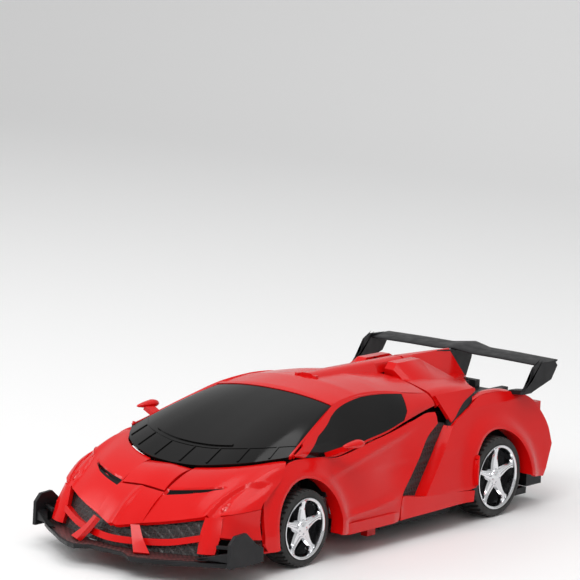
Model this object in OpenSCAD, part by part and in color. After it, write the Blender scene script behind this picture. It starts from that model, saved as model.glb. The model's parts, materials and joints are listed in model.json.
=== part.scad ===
// Transforming robot car: a wedge-shaped sports car whose nose, doors and roof
// rise on a driven parallelogram to become a standing robot. All sizes in mm.
// Front of the car is -Y, its left side is +X, the floor is z = 0.

/* [Wheels] */
// Distance between the front and rear wheel centres
wheelbase = 118; // [110:1:126]
// Radius of a front tyre
front_r = 14.15; // [13:0.05:15]
// Radius of a rear tyre
rear_r = 15.55; // [14.5:0.05:16.5]
// Width of a front tyre
front_w = 10.4; // [9:0.1:11]
// Width of a rear tyre
rear_w = 11.6; // [10:0.1:12]
// Radius of the metal axles
axle_r = 1.5; // [1:0.05:2]

/* [Body] */
// Thickness of the moulded outer panels
panel_t = 1.8; // [1.4:0.1:2.4]
// Half of the body width at the sills
body_w = 45.6; // [44:0.1:47]
// Height of the roof crown
roof_z = 56.8; // [54:0.1:59]
// Depth of the hollow in each door
scoop = 2.0; // [0:0.1:3]

/* [Lifting linkage] */
// Height of the ankle pivot
ankle_z = 30; // [28:0.5:32]
// Position of the ankle pivot along the car
ankle_y = 5; // [3:0.5:7]
// Angle the legs turn through
lift = 100; // [90:1:100]
// Running clearance around pins
run = 0.06; // [0.03:0.01:0.10]

/* [Show] */
// Sub-part to draw

/* [Hidden] */
$fn = 48;
e = 0.02;
front_y = 68.5 - wheelbase;
rear_y = 68.5;
hinge = [52, 53];
chest_y = -98.4;
chest_z = 8;
lug_y = hinge[0] + chest_y - ankle_y;
lug_z = hinge[1] + chest_z - ankle_z;
shoulder = [31.5, -69];
wrist = [25.5, -35];
RED = [0.78, 0.05, 0.06];
BLACK = [0.06, 0.06, 0.07];
SILVER = [0.72, 0.73, 0.75];
SMOKE = [0.05, 0.06, 0.08];

// ---------- surface helpers ----------

// Half width of the body side at a point along and above the floor
function flare(y, z, cy, cz, r) =
    1.3 * exp(-pow((sqrt(pow(y - cy, 2) + pow(z - cz, 2)) - r) / 4.5, 2));
function side_x(y, z) =
    lookup(z, [[4, 0.985], [9, 1], [15, 0.996], [22, 0.965], [30, 0.925],
        [38, 0.862], [43, 0.825], [48, 0.75]]) * body_w
    + flare(y, z, front_y, front_r, 19) + flare(y, z, rear_y, rear_r, 19.5)
    - scoop * exp(-pow((y - 9) / 13, 2) - pow((z - 27) / 8, 2));

// Closed shell between two grids of points, an outer and an inner one
module skin(a, b) {
    m = len(a);
    n = len(a[0]);
    k = m * n;
    pts = concat([for (r = a) each r], [for (r = b) each r]);
    quads = concat(
        [for (i = [0:m - 2], j = [0:n - 2])
            [i * n + j, i * n + j + 1, (i + 1) * n + j + 1, (i + 1) * n + j]],
        [for (i = [0:m - 2], j = [0:n - 2])
            [k + i * n + j, k + (i + 1) * n + j, k + (i + 1) * n + j + 1, k + i * n + j + 1]],
        [for (j = [0:n - 2]) [j, k + j, k + j + 1, j + 1]],
        [for (j = [0:n - 2]) let (s = (m - 1) * n + j) [s, s + 1, k + s + 1, k + s]],
        [for (i = [0:m - 2]) [i * n, (i + 1) * n, k + (i + 1) * n, k + i * n]],
        [for (i = [0:m - 2]) let (s = i * n + n - 1) [s, k + s, k + s + n, s + n]]);
    tris = [for (q = quads) each [[q[0], q[1], q[2]], [q[0], q[2], q[3]]]];
    parts = [for (t = tris) pts[t[0]] * cross(pts[t[1]], pts[t[2]])];
    outward = parts * [for (p = parts) 1] > 0;
    polyhedron(pts, outward ? [for (t = tris) [t[2], t[1], t[0]]] : tris);
}
function shift(a, v) = [for (r = a) [for (p = r) p + v]];
function mix(p, q, t) = p + (q - p) * t;
// Side panel grid: straight columns from a lower to an upper edge, laid on the side
function side_grid(low, top, n, inset = 0) =
    [for (i = [0:len(low) - 1]) [for (j = [0:n]) let (p = mix(low[i], top[i], j / n))
        [side_x(p[0], p[1]) - inset, p[0], p[1]]]];
// Grid ruled between two space curves, swollen upward in the middle
function ruled(a, b, n, swell = 0) =
    [for (i = [0:len(a) - 1]) [for (j = [0:n]) let (t = j / n)
        mix(a[i], b[i], t) + [0, 0, swell * 4 * t * (1 - t)]]];
function arch(cy, cz, r, a) = [cy + r * cos(a), cz + r * sin(a)];

module both() { children(); mirror([1, 0, 0]) children(); }
module rod_x(x0, x1, y, z, r) translate([x0, y, z]) rotate([0, 90, 0]) cylinder(h = x1 - x0, r = r);
module rod_z(x, y, z0, z1, r) translate([x, y, z0]) cylinder(h = z1 - z0, r = r);
module rod_y(x, y0, y1, z, r) translate([x, y0, z]) rotate([-90, 0, 0]) cylinder(h = y1 - y0, r = r);
module box(x0, x1, y0, y1, z0, z1) translate([x0, y0, z0]) cube([x1 - x0, y1 - y0, z1 - z0]);
// Pieces of the leg column are drawn standing, then folded down under the nose
module folded() translate([0, ankle_y, ankle_z]) rotate([lift, 0, 0]) children();
// Flat plate outlined in x and z, standing across the car
module plate_xz(pts, y0, y1) translate([0, y1, 0]) rotate([90, 0, 0])
    linear_extrude(height = y1 - y0) polygon(pts);
// Flat plate outlined in y and z, standing along the car
module plate_yz(pts, x0, x1) translate([x0, 0, 0]) rotate([90, 0, 90])
    linear_extrude(height = x1 - x0) polygon(pts);

// ---------- fixed rear body ----------

fender_low = [[28, 14], [39, 13.8], [49.4, 13.6],
    arch(rear_y, rear_r, 19.4, 165), arch(rear_y, rear_r, 19.4, 138),
    arch(rear_y, rear_r, 19.4, 112), arch(rear_y, rear_r, 19.4, 90),
    arch(rear_y, rear_r, 19.4, 66), arch(rear_y, rear_r, 19.4, 40),
    arch(rear_y, rear_r, 19.4, 14), [87.6, 13.6], [95, 12.6]];
fender_top = [[41, 37.8], [44, 40], [49, 42.4], [55, 44.4], [61, 45.8],
    [67, 46.8], [75, 46.8], [84, 45.6], [92, 43.4], [98, 39.8], [102.4, 33], [103.6, 24]];

module rear_body_shell() color(RED) both() {
    skin(side_grid(fender_low, fender_top, 5), side_grid(fender_low, fender_top, 5, panel_t));
    plate_yz([[5.2, 8.6], [48.8, 9.4], [48.9, 13], [11, 13], [6, 9.8]], 42.4, 45.4);
    box(31.2, 43, 20, 48, 6.5, 8.5);
    box(39, 43, 20, 48, 8.5, 9.8);
    box(31.2, 42.4, 92, 96.8, 10, 12);
    a = [[10, 43.4, 52.4], [20, 43, 51.6], [27, 42.4, 49.8], [33.6, 42, 44.2]];
    b = [[10, 66, 50.4], [18, 76, 49.0], [27, 86, 47.2], [34.2, 92, 44.4]];
    g = ruled(a, b, 5, 0.4);
    skin(g, shift(g, [0, 0, -panel_t]));
    plate_yz([[43, 38], [60, 38], [60, 44], [43, 42]], 30, 32.5);
    box(29.8, 31.4, 84, 96, 12, 44);
}

module engine_deck() color(BLACK) {
    difference() {
        union() {
            box(-29.8, 29.8, 60, 96, 40, 43);
            both() box(5.3, 9, 46, 60, 40, 56);
            both() rod_x(5.3, 9, hinge[0], hinge[1], 4.4);
            for (i = [0:4]) box(-14, 14, 64 + i * 7, 67 + i * 7, 43, 48.5 - i * 0.6);
            both() box(24, 27, 62, 96, 43, 45);
            both() box(26, 29.8, 60, 96, 12, 40);
            both() box(9, 29.8, 46, 60, 38, 42);
        }
        rod_x(-12, 12, hinge[0], hinge[1], 1.5);
        rod_x(-40, 40, rear_y, rear_r, axle_r + 0.5);
    }
    plate_yz([[62, 43], [96, 43], [92, 56.5], [84, 57.2], [66, 53.5]], -1, 1);
}

module side_meshes() color(BLACK) both() {
    difference() {
        plate_yz([[13, 14], [26, 14], [39, 37.4], [22, 37.4]], 38.4, 39.6);
        for (i = [0:3]) plate_yz([[15 + i * 3.2, 16 + i * 0.3], [16.6 + i * 3.2, 16 + i * 0.3],
            [27 + i * 2.6, 35.4], [25.4 + i * 2.6, 35.4]], 38, 40);
    }
    box(36, 38.4, 24, 30, 8.5, 16);
}

module rear_wing() color(BLACK) {
    plate = [[94, 55.2], [95, 56.6], [108.6, 56.4], [110, 55.6], [108.8, 54.8], [100, 54.4]];
    plate_yz(plate, -40.6, 40.6);
    both() plate_yz([[92, 54.6], [95.9, 56.6], [105.4, 56.6], [106.9, 54.2], [103.4, 49.2], [90, 45.2],
        [84, 45.2]], 40.6, 42.4);
    both() plate_yz([[96.2, 40], [103, 40], [103, 55], [98, 55]], 10.5, 12.5);
}

module rear_bumper() color(RED) {
    difference() {
        box(-37.5, 37.5, 100, 103.6, 14, 40);
        box(-28, 28, 99, 104, 19, 31);
    }
    both() plate_yz([[96, 12], [104, 14], [104, 26], [98, 26]], 40, 41.4);
    both() box(37.5, 40.2, 100, 102.5, 15, 30);
    box(-30, 30, 98.2, 100, 36, 40);
}

module rear_diffuser() color(BLACK) {
    box(-37, 37, 97, 107, 6.6, 13.8);
    for (x = [-24, -12, 0, 12, 24]) plate_yz([[99, 4], [109.6, 6.4], [109.6, 13.8], [99, 13.8]], x - 0.8, x + 0.8);
    box(-27.6, 27.6, 101.2, 102.4, 19.4, 30.6);
    both() box(25, 27.4, 98.2, 99.9, 13.8, 22);
    both() box(25, 27.4, 98.2, 101.3, 19.4, 22);
}

module tail_lights() color([0.85, 0.1, 0.08]) both() {
    plate_xz([[13, 33], [35, 34.5], [36, 38], [14, 36]], 103.6, 104.6);
    plate_xz([[15, 21], [20, 21], [26, 29], [21, 29]], 102.4, 103.6);
}

module exhaust_tips() color(SILVER) both() difference() {
    rod_y(6, 102.4, 108.4, 24, 3.6);
    rod_y(6, 103.4, 109, 24, 2.8);
}

// ---------- fixed chassis ----------

module chassis_tray() color(BLACK) difference() {
    union() {
        translate([0, 0, 4]) linear_extrude(height = 2.5)
            polygon([[-34, -4], [34, -4], [34, 4.5], [36, 4.5], [36, 48], [31, 48], [31, 89],
                [37, 89], [37, 97], [-37, 97], [-37, 89], [-31, 89], [-31, 48], [-36, 48],
                [-36, 4.5], [-34, 4.5]]);
        both() plate_yz([[-1.4, 6.4], [11.4, 6.4], [9.6, 35], [0.4, 35]], 28.9, 31.8);
        both() plate_yz([[1, 6.4], [11.4, 6.4], [10, 37.5], [4, 37.5]], 31.6, 35);
        both() box(20.5, 25.8, 64.5, 72.5, 6.4, 20);
        both() box(4.2, 6.6, 3, 13, 4, 8.8);
    }
    rod_x(-40, 40, ankle_y, ankle_z, 2.02);
    rod_x(-40, 40, rear_y, rear_r, axle_r + 0.02);
    rod_x(-8, 8, 8, 5.4, 1.02);
    box(-4.2, 4.2, 2.4, 13.6, 3, 9);
    box(-22, 22, 16, 62, 3, 7);
    box(8.6, 14.4, 90.5, 96.4, 3, 7);
    rod_z(-18, 92.5, 3, 7, 3.02);
    for (x = [-26, 26], y = [22, 56]) {
        rod_z(x, y, 3, 7, 1.22);
        rod_z(x, y, 3, 5.2, 2.24);
    }
}

module front_bulkhead() color(RED) difference() {
    union() {
        box(-33.5, 33.5, -4, -1.6, 6.5, 20.6);
        both() box(34, 37, -4, 0.8, 2.8, 9);
        both() box(31, 34, -4, -1.6, 6.5, 9);
    }
    both() rod_y(35.5, -6, 4, 5.6, 1);
    box(-23, 23, -5, -2.6, 8.5, 18.6);
}

module front_grille() color(SILVER)
    for (x = [-20:5:20]) box(x - 1.1, x + 1.1, -4.4, -2.6, 8.5, 18.6);

module battery_box() color(BLACK) difference() {
    box(-24.5, 24.5, 13.6, 63.8, 6.5, 23.4);
    box(-22.5, 22.5, 15, 62.6, 5, 21.6);
}

module battery_cells() color([0.15, 0.35, 0.6]) for (x = [-14.6, 0, 14.6]) {
    rod_y(x, 15.2, 61.2, 14, 7);
    rod_y(x, 61.2, 62.4, 14, 2.6);
}

module battery_cover() color(BLACK) {
    box(-21.6, 21.6, 16.4, 61.6, 2.5, 4.5);
    for (i = [0:5]) box(-12, 12, 24 + i * 3, 25 + i * 3, 2, 2.5);
}

module motors() color(SILVER) {
    box(-10, 22, 73, 87, 6.5, 20);
    rod_x(-24, -10, 80, 14, 6);
    rod_y(0, 32, 34.4, 30, 3);
    rod_y(0, 34.4, 52, 31, 6.4);
}

module lift_gearbox() color([0.85, 0.85, 0.82]) difference() {
    union() {
        box(-11, 11, 14.2, 32, 23.4, 36);
        box(-11, -2, 5, 14.2, 25, 36);
        box(2, 11, 5, 14.2, 25, 36);
        rod_x(-11, -2, ankle_y, ankle_z, 5);
        rod_x(2, 11, ankle_y, ankle_z, 5);
    }
    rod_x(-12, 12, ankle_y, ankle_z, 2.05);
}

module circuit_board() color([0.05, 0.35, 0.15]) {
    box(11.4, 24, 26, 61, 24.4, 26);
    box(13, 20, 36, 44, 26, 27.6);
    for (x = [13, 22.5], y = [28, 59]) rod_z(x, y, 23.4, 24.4, 1.2);
}

module charge_socket() color([0.1, 0.1, 0.1]) difference() {
    rod_z(-18, 92.5, 2.5, 11, 3);
    rod_z(-18, 92.5, 2, 9.5, 1.75);
}

module speaker() color(BLACK) {
    rod_z(12, 80, 20, 23, 7);
    rod_z(12, 80, 23, 25, 4);
}

module rear_axle() color(SILVER) rod_x(-41.9, 41.9, rear_y, rear_r, axle_r);

module base_pins() color(SILVER) {
    rod_x(-34.8, 34.8, ankle_y, ankle_z, 2);
    rod_x(-9, 9, hinge[0], hinge[1], 1.45);
}

module base_screws() color(SILVER) for (x = [-26, 26], y = [22, 56]) difference() {
    union() {
        rod_z(x, y, 5, 7.4, 1.2);
        rod_z(x, y, 4.2, 5.2, 2.2);
    }
    box(x - 1.4, x + 1.4, y - 0.25, y + 0.25, 4, 4.7);
    box(x - 0.25, x + 0.25, y - 1.4, y + 1.4, 4, 4.7);
}

module caster_wheel() color(BLACK) {
    rod_x(-3.6, 3.6, 8, 5.4, 5.1);
    rod_x(-6.4, 6.4, 8, 5.4, 1);
}

module power_switch() color(SILVER) {
    box(9, 14, 91, 94, 1.4, 6.8);
    box(8.4, 14.6, 90.9, 94.9, 6.8, 8);
}

// ---------- leg column, drawn standing with the ankle pivot at the origin ----------

module leg_frame() color(BLACK) folded() difference() {
    union() {
        both() rod_x(12.6, 28.6, 0, 0, 4.6);
        both() box(14, 19.4, -2.4, 2.4, 3, 59);
        box(-19.4, 19.4, -2.4, -0.2, 59, 64);
    }
    rod_x(-40, 40, 0, 0, 2 + run);
}

module shin_armour() color(RED) folded() both() difference() {
    union() {
        plate_xz([[13, 13], [27, 13], [28, 20], [26, 35.6], [13, 35.6]], -6.4, 2.8);
        plate_xz([[15, 16], [25, 16], [24, 33], [16.4, 33]], -7.6, -6.4);
    }
    box(13.9, 19.5, -2.5, 3, 10, 37);
}

module foot_armour() color(SILVER) folded() {
    both() difference() {
        plate_yz([[-6, 5], [-5, 12.6], [3, 12.6], [4, 5]], 13, 28);
        box(13.9, 19.5, -2.5, 2.5, 4, 14);
    }
    box(-13, 13, -5.6, -4, 6, 17);
    for (x = [-9, -3, 3, 9]) rod_y(x, -6.4, -5.6, 14, 1);
}

module thigh_rods() color(SILVER) folded() both()
    translate([18.6, -4.6, 36.1]) rotate([0, -11, 0]) cylinder(h = 22.6, r = 2.1);

module pelvis_armour() color(RED) folded() {
    plate_xz([[-23.6, 64.2], [-20, 59.4], [-9, 59.4], [0, 57], [9, 59.4], [20, 59.4], [23.6, 64.2],
        [20, 69], [-20, 69]], -7.4, -2.4);
    plate_xz([[-8, 60], [8, 60], [6, 67], [-6, 67]], -8.8, -7.4);
}

module crotch_guard() color(SILVER) folded() {
    plate_xz([[0, 41], [7.6, 45], [8.6, 52], [4, 57], [-4, 57], [-8.6, 52], [-7.6, 45]], -6, -3);
    plate_xz([[0, 44], [4.4, 46.4], [4.4, 52], [-4.4, 52], [-4.4, 46.4]], -7.2, -6);
    box(-3, 3, -3, -0.4, 50, 56.8);
    box(-3, 3, -2.4, -0.4, 56.8, 59);
}

module torso_frame() color(BLACK) folded() difference() {
    union() {
        box(-12, 12, -2.2, -0.2, 64, 98);
        box(-5.6, 5.6, -5.4, -0.4, 98, 104);
        rod_x(-5.8, 5.8, -3.71, 105.65, 3.3);
    }
    rod_x(-20, 20, -3.71, 105.65, 1.5 + run);
}

module torso_armour() color(RED) folded() both() {
    plate_xz([[8.2, 70], [17, 70], [19.4, 78], [24, 92], [22, 97], [8.2, 97]], -7.4, -2.2);
    plate_xz([[10.4, 84], [19.4, 84], [21.4, 93], [12, 94]], -8.4, -7.4);
}

module torso_plate() color(SILVER) folded() {
    plate_xz([[-8, 70], [8, 70], [8, 90], [4, 96], [-4, 96], [-8, 90]], -7.4, -2.2);
    plate_xz([[-5, 74], [0, 71.5], [5, 74], [5, 86], [0, 91], [-5, 86]], -9, -7.4);
}

module chest_pins() color(SILVER) {
    rod_x(-9, 9, chest_y, chest_z, 1.5);
    both() rod_z(shoulder[0], shoulder[1], 18, 31, 1.5);
}

// ---------- nose of the car, chest of the robot ----------

hood_rear = [[10.6, -72.9, 34.2], [20, -70, 35.4], [29, -64.4, 36.8], [36.4, -55.4, 38.2],
    [39.4, -58.2, 36.8], [41.6, -61.6, 33.4], [43.4, -68.4, 30.6], [44.2, -72.6, 27.6]];
hood_lip = [[10.6, -100.4, 18.4], [18, -97.6, 19.8], [25, -94.4, 21.4], [32, -90.6, 23],
    [36, -88.2, 23.8], [39.4, -85.4, 24.6], [42.4, -81, 25.4], [44.4, -75.4, 26.2]];

module hood_shell() color(RED) {
    g = ruled(hood_rear, hood_lip, 8, 2.4);
    both() skin(g, shift(g, [0, 0.3, -panel_t]));
    a = [[-11.4, -88.6, 27.2], [0, -88.6, 28.9], [11.4, -88.6, 27.2]];
    b = [[-11.4, -99.9, 18.2], [0, -104.2, 16.4], [11.4, -99.9, 18.2]];
    h = ruled(a, b, 5, 0.44);
    skin(h, shift(h, [0, 0.3, 0.6 - panel_t]));
}

module front_bumper() color(RED) {
    both() bumper_corner();
    bumper_bars();
}
module bumper_corner() {
    a = [[35.2, -88.2, 21.6], [39, -84.8, 22.5], [42, -80.6, 23.4], [44.2, -75, 24.2]];
    b = [[41.2, -92.2, 9.4], [43, -87.4, 9.4], [44.4, -81, 9.4], [45, -75.4, 9.4]];
    g = ruled(a, b, 4, 0);
    skin(g, shift(g, [-1.2, 1.2, 0]));
}

module bumper_bars() {
    a = [[-31, -91, 19.8], [-16, -98.2, 17.2], [0, -103.8, 14.4], [16, -98.2, 17.2], [31, -91, 19.8]];
    b = [[-29, -94.4, 16.8], [-15, -101, 13.6], [0, -105.6, 11.6], [15, -101, 13.6], [29, -94.4, 16.8]];
    g = ruled(a, b, 2, 0);
    skin(g, shift(g, [0, 1.6, 0]));
    both() hull() {
        box(12, 14.4, -104, -101.2, 13, 14);
        box(16.5, 20.5, -107, -102.6, 9.4, 10);
    }
}

module grille_mesh() color(BLACK) both() {
    a = [[0, -101.2, 15.4], [15, -95.6, 18], [28, -89.4, 20.6], [33, -86.6, 21.2]];
    b = [[0, -103.4, 9.4], [15, -102, 9.4], [28, -97.4, 9.4], [39, -90.6, 9.4]];
    g = ruled(a, b, 3, 0);
    difference() {
        skin(g, shift(g, [0, 1.2, 0]));
        box(6.1, 9.2, -103, -90, 0, 19);
    }
}

module headlights() color([0.9, 0.93, 0.95]) both() hull() {
    box(32.4, 34.6, -90.5, -89.7, 19.4, 20.8);
    box(34.2, 38.4, -93.8, -92.4, 11, 12);
}

module front_splitter() color(BLACK) {
    translate([0, 0, 7]) linear_extrude(height = 2.4) difference() {
        polygon([[0, -110], [17, -108.2], [37, -98], [44.6, -90], [45.6, -76.4], [27, -76.4],
            [27, -86], [25.6, -93.8], [11.5, -94.4], [11.5, -102.4], [-11.5, -102.4], [-11.5, -94.4],
            [-25.6, -93.8], [-27, -86], [-27, -76.4], [-45.6, -76.4], [-44.6, -90], [-37, -98],
            [-17, -108.2]]);
    }
    both() plate_yz([[-95, 8], [-76, 8], [-76, 12], [-79.6, 13.8], [-85.2, 18.6], [-92.2, 18.6],
        [-94.8, 17]], 45.2, 46.8);
}

module chest_frame() color(BLACK) difference() {
    union() {
        both() plate_yz([[-47.8, 20.4], [-47.8, 29], [-78, 29], [-87, 25.2], [-93.4, 20.6],
            [-94.8, 18.8], [-94.8, 17], [-92, 17], [-89, 20.4]], 11, 13.6);
        both() plate_yz([[-101.6, 7], [-95, 7], [-94, 17], [-94, 20.4], [-97, 18.6], [-101, 12]], 6.3, 9);
        both() rod_x(6.3, 9, chest_y, chest_z, 3.5);
        both() box(6.3, 13.6, -94.8, -92, 17, 18.6);
        both() rod_x(13.6, 17.4, lug_y, lug_z, 1.5);
        both() rod_x(11, 13.6, lug_y, lug_z, 3.6);
        both() box(13.6, 36, -72.8, -64.6, 28, 31);
        both() box(27.2, 36, -73.6, -64.6, 18, 21);
        both() box(25, 36, -75.6, -72.6, 18, 29.6);
        both() box(33.6, 36, -75.4, -74.8, 7.6, 18);
        both() box(27.2, 36, -77.4, -75.4, 9.4, 20);
        both() box(18, 24, -73, -71, 31, 32.2);
    }
    rod_x(-20, 20, chest_y, chest_z, 1.52);
    both() rod_z(shoulder[0], shoulder[1], 10, 40, 1.52);
}

// ---------- arms and doors, drawn for the left side ----------

module arm() color(BLACK) difference() {
    union() {
        rod_z(shoulder[0], shoulder[1], 21.3, 27.7, 3.4);
        rod_z(wrist[0], wrist[1], 21.3, 27.7, 3.2);
        d = wrist - shoulder;
        translate([shoulder[0], shoulder[1], 21.8]) rotate([0, 0, atan2(d[1], d[0])])
            translate([0, -2.4, 0]) cube([norm(d), 4.8, 5.4]);
    }
    rod_z(shoulder[0], shoulder[1], 10, 40, 1.5 + run);
    rod_z(wrist[0], wrist[1], 10, 40, 1.5 + run);
}
module arm_left() arm();
module arm_right() mirror([1, 0, 0]) arm();

door_low = [[-74, 8.8], [-71, 8.8], [-68.2, 9.6], arch(front_y, front_r, 19, 170),
    arch(front_y, front_r, 19, 148), arch(front_y, front_r, 19, 126), arch(front_y, front_r, 19, 106),
    arch(front_y, front_r, 19, 85), arch(front_y, front_r, 19, 60), arch(front_y, front_r, 19, 30),
    arch(front_y, front_r, 19, 4), [-29.6, 9.2], [-15, 9.2], [3.6, 9.4], [5.2, 17.4], [11, 27],
    [17.6, 36.6], [33, 40.6]];
door_top = [[-73.8, 12], [-73.4, 17.7], [-73, 22.6], [-71.6, 26.2], [-67, 28.9], [-60.8, 31.7],
    [-56.4, 35.6], [-50.6, 37.8], [-41, 38.4], [-31, 38.2], [-22, 38.2], [-15, 38.3], [-5, 38.8],
    [6, 39.8], [14, 40.7], [22, 41.4], [30, 41.6], [35.4, 41.5]];

module door() color(RED) {
    skin(side_grid(door_low, door_top, 5), side_grid(door_low, door_top, 5, panel_t));
    plate_yz([[-29, 8.4], [3, 8.4], [3.4, 12.6], [-29.4, 13]], 43.8, 46);
    hull() {
        box(49.4, 52, -33, -26, 40.6, 43.6);
        box(47.6, 48.6, -36, -27, 41.2, 43);
    }
    plate_xz([[37.2, 38.5], [38.4, 39.8], [48, 42.4], [48, 41.2], [41, 38.5]], -33, -30);
}
module door_left() door();
module door_right() mirror([1, 0, 0]) door();

module door_bracket() color(BLACK) {
    rod_z(wrist[0], wrist[1], 18, 21, 3.4);
    rod_z(wrist[0], wrist[1], 28, 31, 3.4);
    rod_z(wrist[0], wrist[1], 20, 29, 1.5);
    box(25.5, 31, -36.4, -31.7, 18, 21);
    box(25.5, 31, -36.4, -31.7, 28, 31);
    box(29.2, 33, -34.9, -31.7, 10, 31);
    box(33, 40.9, -34.9, -31.7, 23, 28);
    box(29.2, 32.2, -53.5, -31.7, 9.6, 17.6);
    rod_x(32.1, 42.3, front_y, front_r, axle_r);
}
module door_bracket_left() door_bracket();
module door_bracket_right() mirror([1, 0, 0]) door_bracket();

// ---------- wheels, drawn from the inner face outward ----------

module tyre(r, w, ri) rotate([0, 90, 0]) rotate_extrude($fn = 96)
    polygon([[ri, 0.6], [ri + 0.8, 0], [r - 1.2, 0], [r, 1.2], [r, w * 0.3], [r - 0.5, w * 0.33],
        [r - 0.5, w * 0.37], [r, w * 0.4], [r, w * 0.6], [r - 0.5, w * 0.63], [r - 0.5, w * 0.67],
        [r, w * 0.7], [r, w - 1.2], [r - 1.2, w], [ri + 0.8, w], [ri, w - 0.6]]);
module rim(ri, w) rotate([0, 90, 0]) difference() {
    union() {
        rotate_extrude($fn = 96)
            polygon([[ri - 1.4, 0.6], [ri, 0.6], [ri, w - 0.6], [ri - 0.8, w - 0.2], [ri - 1.4, w - 0.8]]);
        translate([0, 0, w - 5]) cylinder(h = 4.2, r = 4.2);
        translate([0, 0, 0.8]) cylinder(h = w - 5, r = 2.8);
        for (a = [0:72:359]) rotate([0, 0, a + 90]) translate([2.4, 0, w - 3.4]) {
            translate([0, -2.1, 0]) cube([ri - 3.1, 1.3, 2.3]);
            translate([0, 0.8, 0]) cube([ri - 3.1, 1.3, 2.3]);
        }
    }
    translate([0, 0, -1]) cylinder(h = w - 0.6, r = axle_r + run);
}
module at_front() translate([33.6, front_y, front_r]) children();
module at_rear() translate([32, rear_y, rear_r]) children();
module front_tyre_left() color(BLACK) at_front() tyre(front_r, front_w, 11.3);
module front_tyre_right() color(BLACK) mirror([1, 0, 0]) at_front() tyre(front_r, front_w, 11.3);
module front_rim_left() color(SILVER) at_front() rim(11.3, front_w);
module front_rim_right() color(SILVER) mirror([1, 0, 0]) at_front() rim(11.3, front_w);
module rear_tyre_left() color(BLACK) at_rear() tyre(rear_r, rear_w, 12.6);
module rear_tyre_right() color(BLACK) mirror([1, 0, 0]) at_rear() tyre(rear_r, rear_w, 12.6);
module rear_rim_left() color(SILVER) at_rear() rim(12.6, rear_w);
module rear_rim_right() color(SILVER) mirror([1, 0, 0]) at_rear() rim(12.6, rear_w);

// ---------- roof panel with the head folded under it ----------

function roof_h(x, y) = let (
        zc = lookup(y, [[-15, -1.4], [0, 0], [20, -0.6], [41, -3]]) + roof_z,
        zr = lookup(y, [[-15, 52.4], [14, 52.2], [24, 51], [41, 49.8]]))
    zc - (zc - zr) * pow(abs(x) / 27.4, 2.2);

module roof_shell() color(RED) {
    g = [for (y = [-14.4, -4, 8, 20, 31, 41]) [for (i = [-6:6]) [i * 4.26, y, roof_h(i * 4.26, y)]]];
    skin(g, shift(g, [0, 0, -panel_t]));
    both() {
        a = [[32.4, 30.6, 43.8], [31.6, 36, 44.8], [30.8, 41, 45.8]];
        b = [[28.8, 30.6, 49.2], [28.2, 36, 49.6], [27.4, 41, 49.8]];
        q = ruled(a, b, 3, 0.6);
        skin(q, shift(q, [-1.6, 0, -0.6]));
    }
    f0 = [[-9.9, -73, 34.0], [0, -73.2, 34.6], [9.9, -73, 34.0]];
    f1 = [[-9.9, -87.8, 28.2], [0, -87.8, 29.4], [9.9, -87.8, 28.2]];
    f = ruled(f0, f1, 3, 0.8);
    skin(f, shift(f, [0, 0, -1.5]));
    both() plate_yz([[-3, 55.4], [4, 57.8], [26, 57], [30, 55]], 7, 9);
    both() plate_yz([[-1, 55.4], [6, 58.4], [26, 57.6], [30, 55]], 2.4, 3.6);
}

module windscreen() color(SMOKE) {
    a = [[-38, -51.6, 39.9], [-36, -54.4, 39.4], [-29, -63.2, 38], [-20, -69, 36.6], [-10, -72, 35.3],
        [0, -72.8, 34.9], [10, -72, 35.3], [20, -69, 36.6], [29, -63.2, 38], [36, -54.4, 39.4],
        [38, -51.6, 39.9]];
    b = [[-27.2, -14.6, 52.3], [-26, -14.6, 52.8], [-20, -14.6, 53.9], [-13, -14.6, 54.8],
        [-6, -14.6, 55.3], [0, -14.6, 55.4], [6, -14.6, 55.3], [13, -14.6, 54.8], [20, -14.6, 53.9],
        [26, -14.6, 52.8], [27.2, -14.6, 52.3]];
    g = ruled(a, b, 6, 1.6);
    skin(g, shift(g, [0, 0, -1.6]));
}

module side_windows() color(SMOKE) both() {
    a = [[37.5, -46.5, 39.8], [37.2, -38, 39.9], [36.6, -25, 39.9], [36, -12, 40.2], [35.2, 0, 40.8],
        [34.2, 12, 42.0], [33.2, 21, 43.1], [32.4, 30, 43.6]];
    b = [[36.8, -45.4, 40.4], [34.5, -38, 43.4], [31.1, -25, 48.1], [28.3, -14.5, 51.4], [27.7, 0, 52.0],
        [27.8, 12, 51.6], [28.2, 21, 50.9], [28.9, 30, 49.2]];
    g = ruled(a, b, 4, 0.6);
    skin(g, shift(g, [-1.5, 0, -0.5]));
}

module roof_frame() color(BLACK) difference() {
    union() {
        plate_yz([[-73, 32.4], [-62, 37.4], [-50, 42], [-30, 49], [-14, 53], [20, 53.8], [41, 51.4],
            [41, 48.5], [20, 51], [-14, 50], [-30, 45.6], [-50, 38.6], [-61, 31], [-73, 31]], -3, 3);
        both() box(14.1, 17, -54, -48.8, 31, 40.4);
        both() rod_x(14.1, 17, lug_y, lug_z, 3.4);
        box(-17, 17, -54, -50, 38, 40.4);
        plate_yz([[38, 51], [44, 53], [52, 56.4], [55, 55], [52, 50.2], [44, 48.4], [38, 48.5]], -4.6, 4.6);
        rod_x(-4.6, 4.6, hinge[0], hinge[1], 4.2);
        box(-25, -8, 17, 36, 44, 48.4);
        box(-18, -3, 22, 28, 48.4, 51.2);
        box(-26, 26, 4, 8, 48.8, 50);
    }
    both() rod_x(13, 18, lug_y, lug_z, 1.5 + 2 * run);
    rod_x(-12, 12, hinge[0], hinge[1], 1.45 + run);
}

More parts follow.
